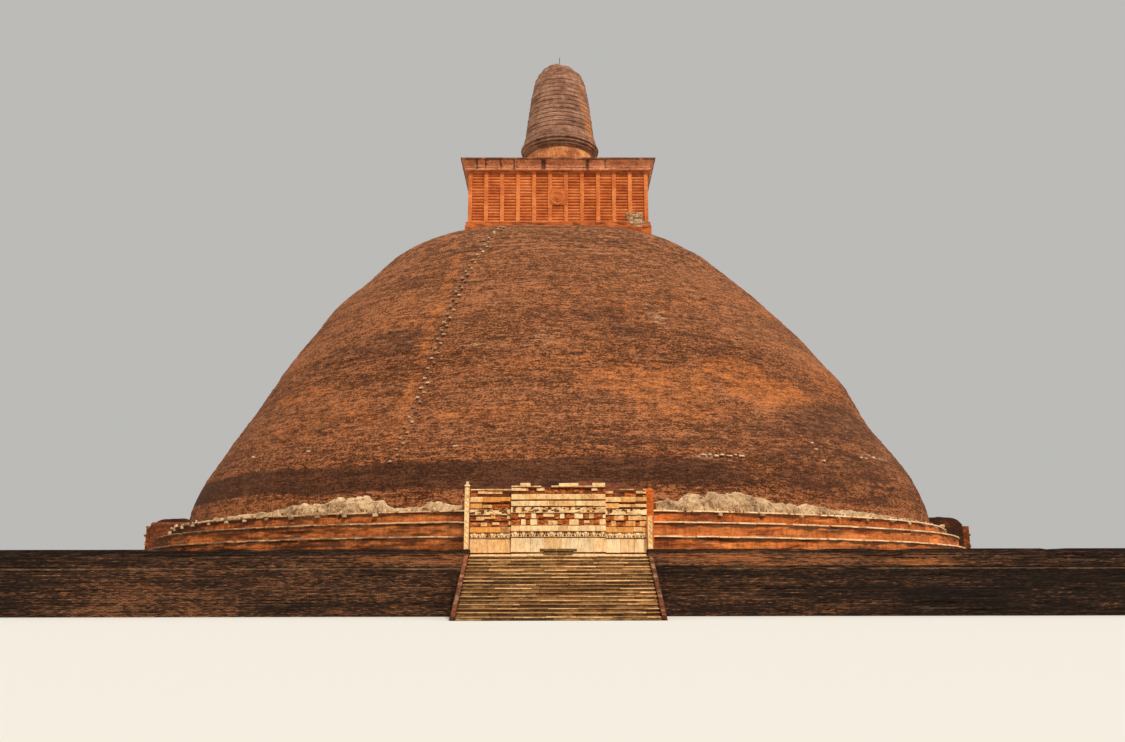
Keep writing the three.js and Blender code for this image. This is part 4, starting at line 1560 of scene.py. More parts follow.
    def repair(self, part: Piece, rng: Random) -> None:
        """Adds the rough stones set into the lower right of the front and over its plinth.

        Args:
            part: the piece that gets it.
            rng: source of random numbers.
        """
        stones = Blocks()
        plinth_face = real_box("chamber_plinth")[1][0]
        tall = self.repair_course
        courses = [(height, *self.repaired, self.half)
                   for height in np.arange(self.foot, self.foot + 1.2, tall)]
        courses += [(height, *self.repaired_plinth, plinth_face)
                    for height in np.arange(self.foot - 0.72, self.foot, tall)]
        for height, start, end, face in courses:
            x = start + 0.15 * rng.random()
            while x < end - 0.1:
                width = min(rng.uniform(0.25, 0.7), end - x)
                stones.front((x, x + width), (height, height + tall - 0.005),
                             (self.back, face + rng.uniform(-0.03, 0.03)),
                             (rng.random(), 0.4 * rng.random(), 0.2 * rng.random(), 0.3 * rng.random()))
                x += width + 0.01
        part.blocks(stones, rng, chamfer=0.025, jitter=0.015, finish=1)

    def build_plinth(self, finish: Material) -> None:
        """Makes the brick base course that the chamber stands on.

        Args:
            finish: its material.
        """
        low, high = real_box("chamber_plinth")
        noise = Noise(75)
        out, top = high[[0, 2]]
        profile = filled([(out, low[2]), (out, top - 0.5), (out - 0.1, top - 0.45), (out - 0.1, top)], 0.12)

        def rough(clean: Array) -> Array:
            """Roughens the courses and breaks the corners."""
            return 0.05 * noise(clean, (1.2, 1.2, 0.15), 2) - 0.1 * ease(noise(clean, 2.2, 2), 0.2, 0.5)

        def dab(clean: Array) -> Array:
            """Darkens the foot.

            Args:
                clean: places on the smooth face.

            Returns:
                Their paint.
            """
            tone = unit(0.4 + 0.4 * noise(clean, (2, 2, 0.4), 2))
            corner = ease(np.minimum(np.abs(clean[..., 0]), np.abs(clean[..., 1])), 8.5, 11.5)
            stain = 0.42 - 0.1 * corner + 0.5 * noise(clean, (1.2, 1.2, 0.4), 2)
            return coat(tone * 0.85, unit(stain))

        piece = Piece("chamber_plinth_courses")
        square_ring(piece, profile, 70, rough, dab, self.half - 1.2)
        piece.make([finish], ["chamber_plinth"])

    def build_cornice(self, finish: Material) -> None:
        """Makes the cornice with its dark runs and dark top edge.

        Args:
            finish: its material.
        """
        low, high = real_box("chamber_cornice")
        noise = Noise(78)
        tall = (high[2] - low[2]) / self.cornice[-1][1]
        reach = high[0] - self.cornice[-1][0]
        corners = [(11.4, low[2])] + [(out + reach, low[2] + rise * tall) for out, rise in self.cornice]
        profile = filled(corners, 0.11)
        rise = (profile[:, 1] - low[2])[:, None]

        def rough(clean: Array) -> Array:
            """Wears the face a little."""
            return 0.03 * noise(clean, (0.9, 0.9, 0.2), 2) - 0.01

        def dab(clean: Array) -> Array:
            """Paints runs below the damp spots of the front and thin ones elsewhere.

            Args:
                clean: places on the smooth face.

            Returns:
                Their paint.
            """
            tone = unit(0.45 + 0.4 * noise(clean, (1.5, 1.5, 0.8), 2))
            # Painted shade darkens the recess low on the face and the underside at the foot; a dark line also
            # runs along the top.
            edge = 1.1 * ease(rise, 1.3, 1.38) + 1.1 * within(rise, 0.28, 0.48, 0.04)
            edge = edge + 0.5 * (1 - ease(rise, 0, 0.1))
            stain = 0.06 + 0.3 * ease(noise(clean, (0.5, 0.5, 9), 2), 0.2, 0.5) * ease(rise, 0.1, 0.9)
            front = clean[..., 1] < -self.half
            for place, width in self.runs:
                run = hill(clean[..., 0] + 0.06 * noise(clean, 0.5), place, width)
                stain = np.maximum(stain, front * run * ease(rise, 0.02, 0.3) * 1.2)
            stain = np.maximum(stain, edge * (0.75 + 0.25 * noise(clean, 0.8)))
            return coat(tone, unit(stain), 0.1)

        piece = Piece("chamber_cornice_moulding")
        square_ring(piece, profile, 170, rough, dab, 3.3)
        piece.make([finish], ["chamber_cornice"])


@dataclass
class Spire:
    """Drum, ring moulding, ringed brick cone and rod."""

    columns: int = 150
    joint: float = 0.08
    joint_height: float = 0.11
    moulding: tuple[tuple[float, float, float], ...] = (
        (5.05, 63.9, 0.0), (5.08, 64.1, 0.55), (5.34, 64.16, 0.15), (5.36, 64.36, 0.0), (5.24, 64.4, 0.55),
        (5.28, 64.48, 0.55), (5.6, 64.56, 0.15), (5.63, 64.78, 0.0), (5.5, 64.82, 0.55), (5.52, 64.92, 0.55),
        (5.79, 64.98, 0.15), (5.82, 65.14, 0.0), (5.77, 65.3, 0.4), (5.56, 65.38, 0.6), (5.6, 65.6, 0.2),
        (5.55, 65.8, 0.3), (5.38, 65.88, 0.6), (5.42, 66.2, 0.2), (5.36, 66.5, 0.3))

    def __post_init__(self) -> None:
        """Reads where the spire's axis stands."""
        self.middle = turned_profile("spire_drum")[2][0]

    def turned(self, name: str, profile: Array, finish: Material, slot: str, node: str, *,
               rough: float, seed: int, stain: float, top_wear: float = 0.0) -> None:
        """Makes one round piece of brickwork.

        Args:
            name: the piece's name.
            profile: radius, height and darkness of its rows, from foot to top.
            finish: its material.
            slot: not used.
            node: the frame node that it stands for.
            rough: how far its courses stand in and out.
            seed: seed of its noise.
            stain: how much of it is dark.
            top_wear: how far its broken top is worn down.
        """
        noise = Noise(seed)
        radius, height, shade = profile[:, :1], profile[:, 1:2], profile[:, 2:]
        azimuth = np.linspace(-math.pi, math.pi, self.columns, endpoint=False)
        degrees = np.degrees(azimuth)
        clean = around(radius, azimuth, height)
        keep = ease(height, height[0, 0], height[0, 0] + 0.2)
        uneven = noise(clean, (1.6, 1.6, 0.35), 2) + 0.6 * noise(clean, (0.5, 0.5, 0.3))
        out = radius + keep * rough * uneven
        crown = ease(height, height[-1, 0] - 2.6, height[-1, 0])
        broken = noise(clean + 5, (1.1, 1.1, 0.7), 2) - 1.2 * hill(degrees, 70, 50) * ease(radius, 0.3, 1.5)
        worn_top = top_wear * crown * broken
        points = around(out + worn_top * 0.6, azimuth, height + np.minimum(worn_top, 0.05), self.middle)
        tone = unit(0.48 + 0.45 * noise(clean, (1.8, 1.8, 0.7), 2) + 0.12 * hill(degrees, -62, 34))
        dark = unit(stain + 0.55 * noise(clean - 8, (2.6, 2.6, 1.6), 2))
        # A sunlit patch on the right is painted in as painted light: it goes on as worn orange with less
        # stain.
        sunny = 0.9 * hill(degrees, 56, 17) * unit(0.45 + 1.3 * noise(clean, (1.4, 1.4, 2.4), 2))
        dark = unit(dark - sunny * 0.6 - 0.5 * hill(degrees, -62, 34)) + crown * 0.2 * (top_wear > 0)
        dark = unit(np.maximum(dark, shade * (0.9 + 0.4 * noise(clean, 0.8))))
        paint = coat(tone, dark, unit(sunny) * (1 - shade))
        piece = Piece(name)
        length = path_lengths(profile)
        brick = SPIRE_BRICK.brick[0]
        bricks_round = round(2 * math.pi * float(radius.mean()) / brick)
        across = np.linspace(0, bricks_round * brick, self.columns + 1)
        piece.grid(points, across, length, paint, wrap=True, caps=True, smooth=True)
        piece.make([finish], [node])

    def cone_profile(self) -> Array:
        """Draws each ring course of the frame's cone as a band under a deep, dark joint.

        Returns:
            Radius, height and darkness of its rows, from foot to top.
        """
        heights, radii, _ = turned_profile("spire")
        rows = [(radii[0], heights[0], 0.3)]
        groove = 1
        while heights[groove + 1] - heights[groove] < 0.5:
            radius, top, after = radii[groove], heights[groove], radii[groove + 2]
            deep = radii[groove + 1] - self.joint
            rows += [(radius, top - 0.04, 0.0), (deep, top, 0.72), (deep, top + self.joint_height, 0.72),
                     (after, top + self.joint_height + 0.03, 0.1)]
            groove += 2
        return filled(rows + [(r, z, 0.05) for r, z in zip(radii[groove:], heights[groove:])], 0.09)

    def build(self, drum: Material, brick: Material, metal: Material) -> None:
        """Makes the spire's pieces.

        Args:
            drum: the drum's material.
            brick: the rings' material.
            metal: the rod's material.
        """
        low, high = real_box("spire_drum")
        radius = (high[0] - low[0]) / 2
        shaft = filled([(radius, low[2], 0.0), (radius, high[2], 0.0)], 0.2)
        self.turned("spire_drum_brickwork", shaft, drum, "chamber_brick", "spire_drum",
                    rough=0.02, seed=80, stain=-0.1)
        self.turned("spire_ring_moulding_courses", filled(self.moulding, 0.09), brick, "spire_brick",
                    "spire_ring_moulding", rough=0.03, seed=81, stain=0.1)
        self.turned("spire_cone_rings", self.cone_profile(), brick, "spire_brick", "spire",
                    rough=0.05, seed=82, stain=0.05, top_wear=0.3)
        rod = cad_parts["lightning_rod"]
        rod.data.materials.clear()
        rod.data.materials.append(metal)
        LOG.info("lightning_rod: kept from the frame with its own metal")


class CourseKind(Enum):
    """What a course of the frontispiece is made of."""

    STEP = "low white base step"
    SLAB = "tall slabs"
    LEDGE = "thin projecting ledge"
    BEASTS = "row of carved elephant heads"
    CREAM = "squared cream blocks"
    MIXED = "cream blocks with brick between them"
    WEATHERED = "worn carved frieze"
    RUINED = "broken stones along the top"


@dataclass(frozen=True)
class Course:
    """One course of the frontispiece: its kind, foot, top and how far it stands proud."""

    kind: CourseKind
    foot: float
    top: float
    proud: float


COURSES = (
    Course(CourseKind.STEP, 3.1, 4.05, 0.32),
    Course(CourseKind.SLAB, 4.2, 5.33, 0.0),
    Course(CourseKind.BEASTS, 5.41, 5.88, 0.06),
    Course(CourseKind.CREAM, 5.88, 6.33, 0.18),
    Course(CourseKind.MIXED, 6.4, 6.83, 0.04),
    Course(CourseKind.MIXED, 6.91, 7.33, 0.02),
    Course(CourseKind.WEATHERED, 7.37, 7.83, 0.1),
    Course(CourseKind.CREAM, 7.91, 8.33, 0.17),
    Course(CourseKind.CREAM, 8.45, 8.88, 0.17),
    Course(CourseKind.RUINED, 8.95, 9.44, -0.02),
    Course(CourseKind.LEDGE, 9.46, 9.57, 0.1),
    Course(CourseKind.RUINED, 9.57, 9.86, 0.0),
)
# How wide the stones of each kind of course are.
STONE_WIDTHS = {
    CourseKind.STEP: (0.9, 2.2), CourseKind.SLAB: (0.7, 1.7), CourseKind.LEDGE: (0.6, 1.8),
    CourseKind.CREAM: (0.5, 1.5), CourseKind.MIXED: (0.32, 0.95), CourseKind.RUINED: (0.4, 0.95)}
# Spans in X of the stones left on the very top, and of the gap in the ledge below them.
TOP_STONES = ((-3.15, -2.3), (0.05, 0.8), (0.81, 1.65), (2.8, 3.87))
LEDGE_GAP = (-1.0, 0.05)


@dataclass
class Frontispiece:
    """One stone-faced projection of the dome's foot with its stelae and altar."""

    side: str
    centre_half: float = 3.87
    set_back: float = 0.25
    face_proud: float = 0.3
    stone_depth: float = 0.55
    brick_height: float = 0.072
    brick_joint: float = 0.012
    # Tops of the brick behind the stones of the centre and of the wings, painted dark as painted shade.
    shade_backing: Span = (9.5, 9.0)
    wing_scale: float = 0.962
    stele_half: float = 0.185
    # How far the altar's base courses are set in, and their feet and tops above its floor.
    altar_courses: tuple[tuple[float, float, float], ...] = (
        (0.42, 0.0, 0.25), (0.3, 0.25, 0.42), (0.4, 0.42, 0.85), (0.28, 0.85, 1.08))
    pier_top: float = 9.65
    pier_back: float = 46.8
    # Distance in from the facing and height of the brick mass's worn top.
    mound: tuple[tuple[float, float], ...] = (
        (0, 9.2), (0.4, 9.75), (1.2, 10.15), (3.2, 10.3), (4.6, 9.85), (6.3, 9.3))

    def __post_init__(self) -> None:
        """Reads the sizes of the front's nodes from the frame."""
        low, high = real_box("frontispiece_facing_front")
        self.half, self.floor = high[0], low[2]
        self.face = -low[1] - self.face_proud
        self.back = -high[1]
        self.rng = seeded(90 + SIDES.index(self.side))
        self.noise = Noise(91 + SIDES.index(self.side))

    def build(self, stone: Material, brick: Material, core: Material, altar: Material) -> None:
        """Makes facing, brick mass, stelae and altar.

        Args:
            stone: material of the stones.
            brick: material of the facing's bricks.
            core: material of the brick mass.
            altar: material of the altar.
        """
        facing = Piece("facing")
        stones, bricks, dark = Blocks(), Blocks(), Blocks()
        for course in COURSES[:-1]:
            for x, face, wing in self.bays():
                self.lay(course, x, face + course.proud, wing, facing, stones, bricks)
        for x in TOP_STONES:
            height = (COURSES[-1].foot, COURSES[-1].top - self.rng.uniform(0, 0.1))
            stones.front(x, height, (self.face - self.stone_depth, self.face), (0.6, 0.2, 0, 0.5))
        # The brick behind the stones is painted dark, as painted shade in the gaps between the courses.
        for x, face, wing in self.bays():
            dark.front(x, (self.floor, self.shade_backing[wing]), (self.back, face - 0.12), (0.4, 0.75, 0, 0))
        facing.blocks(stones, self.rng, chamfer=0.018, jitter=0.012)
        facing.blocks(bricks, self.rng, jitter=0.01, finish=1, sharp=True)
        facing.blocks(dark, self.rng, chamfer=0.02, finish=1)
        facing.make_at(self.side, [stone, brick], "limestone", f"frontispiece_facing_{self.side}", "courses")
        self.build_mass(core)
        self.build_stelae(stone)
        self.build_altar(altar)

    def bays(self) -> list[tuple[Span, float, bool]]:
        """Gives the spans of the centre and the two wings with their faces.

        Returns:
            Span in X, distance out of the face, and whether it is a wing, for each bay.
        """
        wing_face = self.face - self.set_back
        return [((-self.centre_half, self.centre_half), self.face, False),
                ((-self.half, -self.centre_half), wing_face, True),
                ((self.centre_half, self.half), wing_face, True)]

    def stripped(self, x: Span) -> bool:
        """Says whether the facing of the wing at this end has fallen: there the stele is gone too."""
        hand = "left" if x[0] < 0 else "right"
        return f"stele_{hand}_{self.side}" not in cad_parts

    def lay(self, course: Course, x: Span, face: float, wing: bool, part: Piece, stones: Blocks,
            bricks: Blocks) -> None:
        """Lays one course of one bay.

        Args:
            course: the course.
            x: the bay's span in X.
            face: how far out the course's face is.
            wing: whether the bay is a wing, which is lower and more broken.
            part: the piece that gets the carved bands.
            stones: the squared stones.
            bricks: the bricks.
        """
        rng = self.rng
        shrink = self.wing_scale if wing else 1.0
        height = tuple(self.floor + (level - self.floor) * shrink for level in (course.foot, course.top))
        kind, stripped = course.kind, wing and self.stripped(x)
        if kind in (CourseKind.BEASTS, CourseKind.WEATHERED):
            if not stripped:
                self.carve(kind, x, height, face, part)
            return
        place, number = x[0], 0
        while place < x[1] - 0.02:
            number += 1
            width = min(rng.uniform(*STONE_WIDTHS[kind]), x[1] - place)
            if x[1] - place - width < 0.22:
                width = x[1] - place
            span = (place + 0.004, place + width - 0.004)
            place += width
            luck = rng.random()
            if stripped and luck > 0.3:
                continue
            if course.foot > 9.4 and not wing and LEDGE_GAP[0] < sum(span) / 2 < LEDGE_GAP[1]:
                continue
            aside = self.side in ("right", "left") and wing
            darker = 0.5 * rng.random() if rng.random() < (0.3 if wing else 0.12) else 0.0
            paint = (rng.uniform(0.4, 0.85), darker + 0.8 * aside, (0.95 if wing else 0.6) * rng.random() ** 2,
                     rng.random() * (0.7 if not wing else 0.3))
            if wing or kind is CourseKind.CREAM and course.foot > 8.4:
                paint = (paint[0] * 0.8, *paint[1:3], paint[3] * 0.5)
            if kind is CourseKind.STEP:
                paint = (0.7, 0.1, 0.0, 0.7)
            elif kind is CourseKind.SLAB:
                paint = (rng.uniform(0.35, 0.75), 0.5 * rng.random() ** 3,
                         (0.8 if wing else 0.3) * rng.random(), rng.uniform(0.2, 0.9))
            out = (face - self.stone_depth, face + rng.uniform(-0.03, 0.025))
            if kind is CourseKind.RUINED:
                self.ruin(span, height, out, wing, luck, paint, stones, bricks)
            elif kind is CourseKind.MIXED and number % 2 and luck < 0.85:
                self.brick_patch(span, height, out[1] - 0.03, bricks)
            elif kind is CourseKind.MIXED:
                cut = height[0] + rng.choice([0.0, 0.0, 0.12]), height[1] - rng.choice([0.0, 0.0, 0.1])
                self.brick_patch(span, height, out[1] - 0.1, bricks, rows=2)
                stones.front(span, cut, out, paint)
            elif kind is CourseKind.LEDGE and luck < (0.3 if wing else 0.1):
                continue
            elif wing and luck < 0.2 and kind is CourseKind.CREAM:
                self.brick_patch(span, height, out[1] - 0.12, bricks)
            elif wing and luck < 0.6 and kind is CourseKind.CREAM:
                cut = height[0] + rng.uniform(0, 0.14), height[1] - rng.uniform(0, 0.1)
                self.brick_patch(span, height, out[1] - 0.12, bricks)
                stones.front(span, cut, out, paint)
            else:
                stones.front(span, height, out, paint)

    def ruin(self, span: Span, height: Span, out: Span, wing: bool, luck: float,
             paint: Sequence[float], stones: Blocks, bricks: Blocks) -> None:
        """Leaves a broken stone, some brick or nothing.

        Args:
            span: the place's span in X.
            height: its span in height.
            out: its span in distance out.
            wing: whether it is in a wing.
            luck: a random number that says what is left.
            paint: the stone's paint.
            stones: the squared stones.
            bricks: the bricks.
        """
        if luck < 0.45:
            stones.front(span, (height[0] + 0.22, height[1] - 0.03), out, paint)
            self.brick_patch(span, height, out[1] - 0.14, bricks, rows=2)
        elif luck < 0.82 and not (wing and luck > 0.7):
            self.brick_patch(span, (height[0], height[1] - 0.1), out[1] - 0.08, bricks)

    def brick_patch(self, x: Span, height: Span, face: float, bricks: Blocks, rows: int = 99) -> None:
        """Fills a gap between stones with real bricks.

        Args:
            x: the gap's span in X.
            height: its span in height.
            face: how far out the bricks' face is.
            bricks: the bricks.
            rows: the most rows that are laid.
        """
        rng = self.rng
        pitch = self.brick_height + self.brick_joint
        for row in range(min(rows, int((height[1] - height[0]) / pitch))):
            foot = height[0] + row * pitch
            place = x[0] - (0.12 if row % 2 else 0)
            while place < x[1] - 0.03:
                width = rng.uniform(0.22, 0.32)
                span = (max(place, x[0]), min(place + width, x[1]))
                place += width + self.brick_joint
                if span[1] - span[0] > 0.04:
                    out = (face - 0.25, face + rng.uniform(-0.035, 0.02))
                    paint = (rng.random(), 0.5 * (rng.random() < 0.2), 0.5 * rng.random(),
                             0.35 * rng.random())
                    bricks.front(span, (foot, foot + self.brick_height), out, paint)

    def carve(self, kind: CourseKind, x: Span, height: Span, face: float, part: Piece) -> None:
        """Adds a carved band with a repeated, generic relief.

        Args:
            kind: the band's kind.
            x: its span in X.
            height: its span in height.
            face: how far out its face is.
            part: the piece that gets it.
        """
        columns = round((x[1] - x[0]) / 0.045) + 1
        along = np.linspace(*x, columns)
        rows = np.linspace(0, 1, 12)
        repeat = 0.72 if kind is CourseKind.BEASTS else 0.62
        sway = 0.16 * self.noise(straight(0.0, along, 0.0), 0.9)
        u = (((along - x[0]) / repeat + sway) % 1 - 0.5) * repeat
        tall = height[1] - height[0]
        v = (rows * tall)[:, None]
        if kind is CourseKind.BEASTS:
            head = np.exp(-((u / 0.17) ** 2 + ((v - tall * 0.62) / 0.17) ** 2))
            trunk = np.exp(-((u / 0.06) ** 2)) * within(v, 0.04, tall * 0.6, 0.03)
            ears = np.exp(-(((np.abs(u) - 0.27) / 0.08) ** 2 + ((v - tall * 0.6) / 0.16) ** 2)) * 0.6
            legs = np.exp(-(((np.abs(u) - 0.2) / 0.06) ** 2)) * within(v, 0.0, tall * 0.4, 0.04) * 0.7
            relief = 0.16 * np.maximum.reduce([head, trunk * 0.8, ears, legs])
        else:
            flat = straight(0.0, along, v)
            relief = 0.09 * ease(self.noise(flat, (0.24, 1, 0.15), 2), -0.4, 0.0)
        clean = straight(face, along, height[0] + v)
        relief = relief * (1 - 0.4 * ease(self.noise(clean, 0.7, 2), -0.1, 0.4))
        rim = 0.06 * np.maximum(1 - ease(v, 0, 0.05), ease(v, tall - 0.05, tall))
        out = face - 0.08 + np.maximum(relief, rim) + 0.03 * self.noise(clean, 0.2, 2)
        # The carving's hollows are painted dark as painted shade; its raised parts are painted pale.
        hollow = 1 - ease(relief + rim, 0.015, 0.055)
        stain = unit(hollow + 0.3 * (0.4 + 0.8 * self.noise(clean, (1.2, 1.2, 0.4), 2)))
        tone = unit(0.55 + 0.5 * self.noise(clean, 0.6, 2) - 0.8 * hollow)
        pale = ease(relief, 0.03, 0.08) * (0.95 if kind is CourseKind.BEASTS else 0.45)
        part.strip(out, along, height[0] + v[:, 0], face - self.stone_depth, height[0], straight,
                   paint=coat(tone, stain * (1 - pale), 0, pale))

    def build_mass(self, brick: Material) -> None:
        """Makes the brick mass behind the facing and the brick pier at its right end.

        Args:
            brick: its material.
        """
        part = Piece("mass")
        out_high = self.back - 0.01
        knots = np.array(self.mound)
        inner = out_high - knots[-1, 0]
        along = np.linspace(-self.half, self.half, 60)
        into = np.linspace(0, knots[-1, 0], 26)
        top = np.interp(into, *knots.T)
        front_rows = np.arange(self.floor, knots[0, 1], 0.3)
        out = np.concatenate([np.full(len(front_rows), out_high), out_high - into])[:, None]
        height = np.concatenate([front_rows, top])[:, None]
        clean = straight(out, along, height)
        free = ease(height, 9.1, 9.4)
        lowered = 0.45 if self.side in ("front", "back") else 0.08
        ends = 1 - lowered * ease(np.abs(along), self.half - 2.2, self.half - 0.6) * free
        lump = 0.22 * self.noise(clean, (1.6, 1.6, 0.8), 3)
        height = np.where(free > 0, (height - 9.1) * ends + 9.1 + free * lump, height)
        tone = unit(0.45 + 0.4 * self.noise(clean, 1.5, 2))
        aside = 0.3 * (self.side in ("left", "right"))
        stain = unit(0.45 + aside + 0.7 * self.noise(clean, 2.4, 2))
        part.strip(out, along, height, inner, self.floor, straight, paint=coat(tone, stain))
        self.pier(part)
        part.make_at(self.side, [brick], "tier_brick", f"frontispiece_masonry_{self.side}", "brickwork")

    def pier(self, part: Piece) -> None:
        """Adds the upright brick pier beyond the right wing, broken along its top.

        Args:
            part: the piece that gets it.
        """
        end = real_box("frontispiece_masonry_front")[1][0]
        along = np.linspace(self.half + 0.02, end + 0.1, 10)
        bright = 0.95 if self.side == "front" else 0.2
        height = np.linspace(self.floor, self.pier_top, 64)
        clean = straight(self.back, along, height[:, None])
        out = self.back + 0.04 * self.noise(clean, (0.6, 0.6, 0.12), 2)
        tone = unit(0.6 + 0.4 * self.noise(clean, 0.9, 2))
        broken = ease(height, self.pier_top - 0.65, self.pier_top)[:, None]
        top = height[:, None] - broken * (0.2 + 0.35 * self.noise(clean, 0.4, 2))
        part.strip(out, along, top, self.pier_back, self.floor, straight, paint=coat(tone, 0.05, bright))

    def build_stelae(self, stone: Material) -> None:
        """Makes the whole left stele with its small head, and the broken right one.

        Args:
            stone: their material.
        """
        for hand in ("left", "right"):
            if f"stele_{hand}_{self.side}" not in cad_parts:
                continue
            low, high = real_box(f"stele_{hand}_front")
            middle = (low[0] + high[0]) / 2
            x, out = (middle - self.stele_half, middle + self.stele_half), (-high[1], -low[1])
            head = 0.5 if hand == "left" else 0.0
            part = Piece("stele")
            along = np.linspace(*x, 14)
            height = np.linspace(low[2], high[2] - head, 90)[:, None]
            clean = straight(out[1], along, height)
            u = (along - middle) / (x[1] - x[0])
            frame_line = 0.025 * ease(np.abs(u), 0.34, 0.4)
            curl = np.cos(2 * math.pi * (height / 0.42 + 0.18 * np.sin(u * 9)))
            scroll = 0.022 * curl * within(u, -0.28, 0.28, 0.04)
            face = out[1] - 0.03 + frame_line + scroll + 0.012 * self.noise(clean, 0.3, 2)
            broken = (hand == "right") * 0.25 * ease(height, high[2] - 0.6, high[2]) * self.noise(clean, 0.3)
            tone = unit(0.65 + 0.4 * self.noise(clean, (0.5, 0.5, 1.5), 2))
            # The scroll's hollows are painted darker and its ridges lighter, as painted shade.
            stain = unit(0.15 + 0.5 * self.noise(clean, (0.3, 0.3, 2.0), 2) - 12 * scroll)
            part.strip(face, along, height + np.minimum(broken, 0), out[0], low[2], straight,
                       paint=coat(tone, stain * 0.5, 0, 0.4))
            if head:
                self.stele_head(part, x, out, high[2] - head, high[2])
            part.make_at(self.side, [stone], "limestone", f"stele_{hand}_{self.side}", "slab")

    def stele_head(self, part: Piece, x: Span, out: Span, foot: float, top: float) -> None:
        """Adds the stele's cap: a neck, a wider plate and a small block.

        Args:
            part: the piece that gets it.
            x: the shaft's span in X.
            out: its span in distance out.
            foot: height of the cap's foot.
            top: height of its top.
        """
        neck, plate = foot + 0.1, foot + 0.24
        head, grow = Blocks(), 0.035
        head.front((x[0] + 0.05, x[1] - 0.05), (foot, neck), (out[0] + 0.03, out[1] - 0.05),
                   (0.6, 0.3, 0, 0.2))
        head.front((x[0] - grow, x[1] + grow), (neck, plate), (out[0], out[1]), (0.8, 0, 0, 0.8))
        head.front((x[0] + 0.08, x[1] - 0.08), (plate, top), (out[0] + 0.05, out[1] - 0.06),
                   (0.7, 0.1, 0, 0.6))
        part.blocks(head, self.rng, chamfer=0.035, jitter=0.01)

    def build_altar(self, finish: Material) -> None:
        """Makes the offering table: a thick worn slab on a base of squared stones.

        Args:
            finish: its material.
        """
        low, high = real_box("altar_front")
        x, out, top = (low[0], high[0]), (-high[1], -low[1]), high[2]
        part, stones = Piece("altar"), Blocks()
        middle = sum(x) / 2
        for span in ((x[0], middle - 0.15), (middle - 0.14, x[1])):
            stones.front(span, (top - 0.2, top), out, (0.3 * self.rng.random(), 0.5, 0, 0.0))
        for inset, foot, height in self.altar_courses:
            place = x[0] + inset
            while place < x[1] - inset - 0.05:
                width = min(self.rng.uniform(0.45, 0.9), x[1] - inset - place)
                deep = (out[0] + inset * 0.4, out[1] - inset * 0.4)
                paint = (self.rng.random(), 0.35 * self.rng.random(), 0, 0.1)
                stones.front((place, place + width - 0.012), (low[2] + foot, low[2] + height), deep, paint)
                place += width
        part.blocks(stones, self.rng, chamfer=0.025, jitter=0.012)
        part.make_at(self.side, [finish], "altar_stone", f"altar_{self.side}", "table")


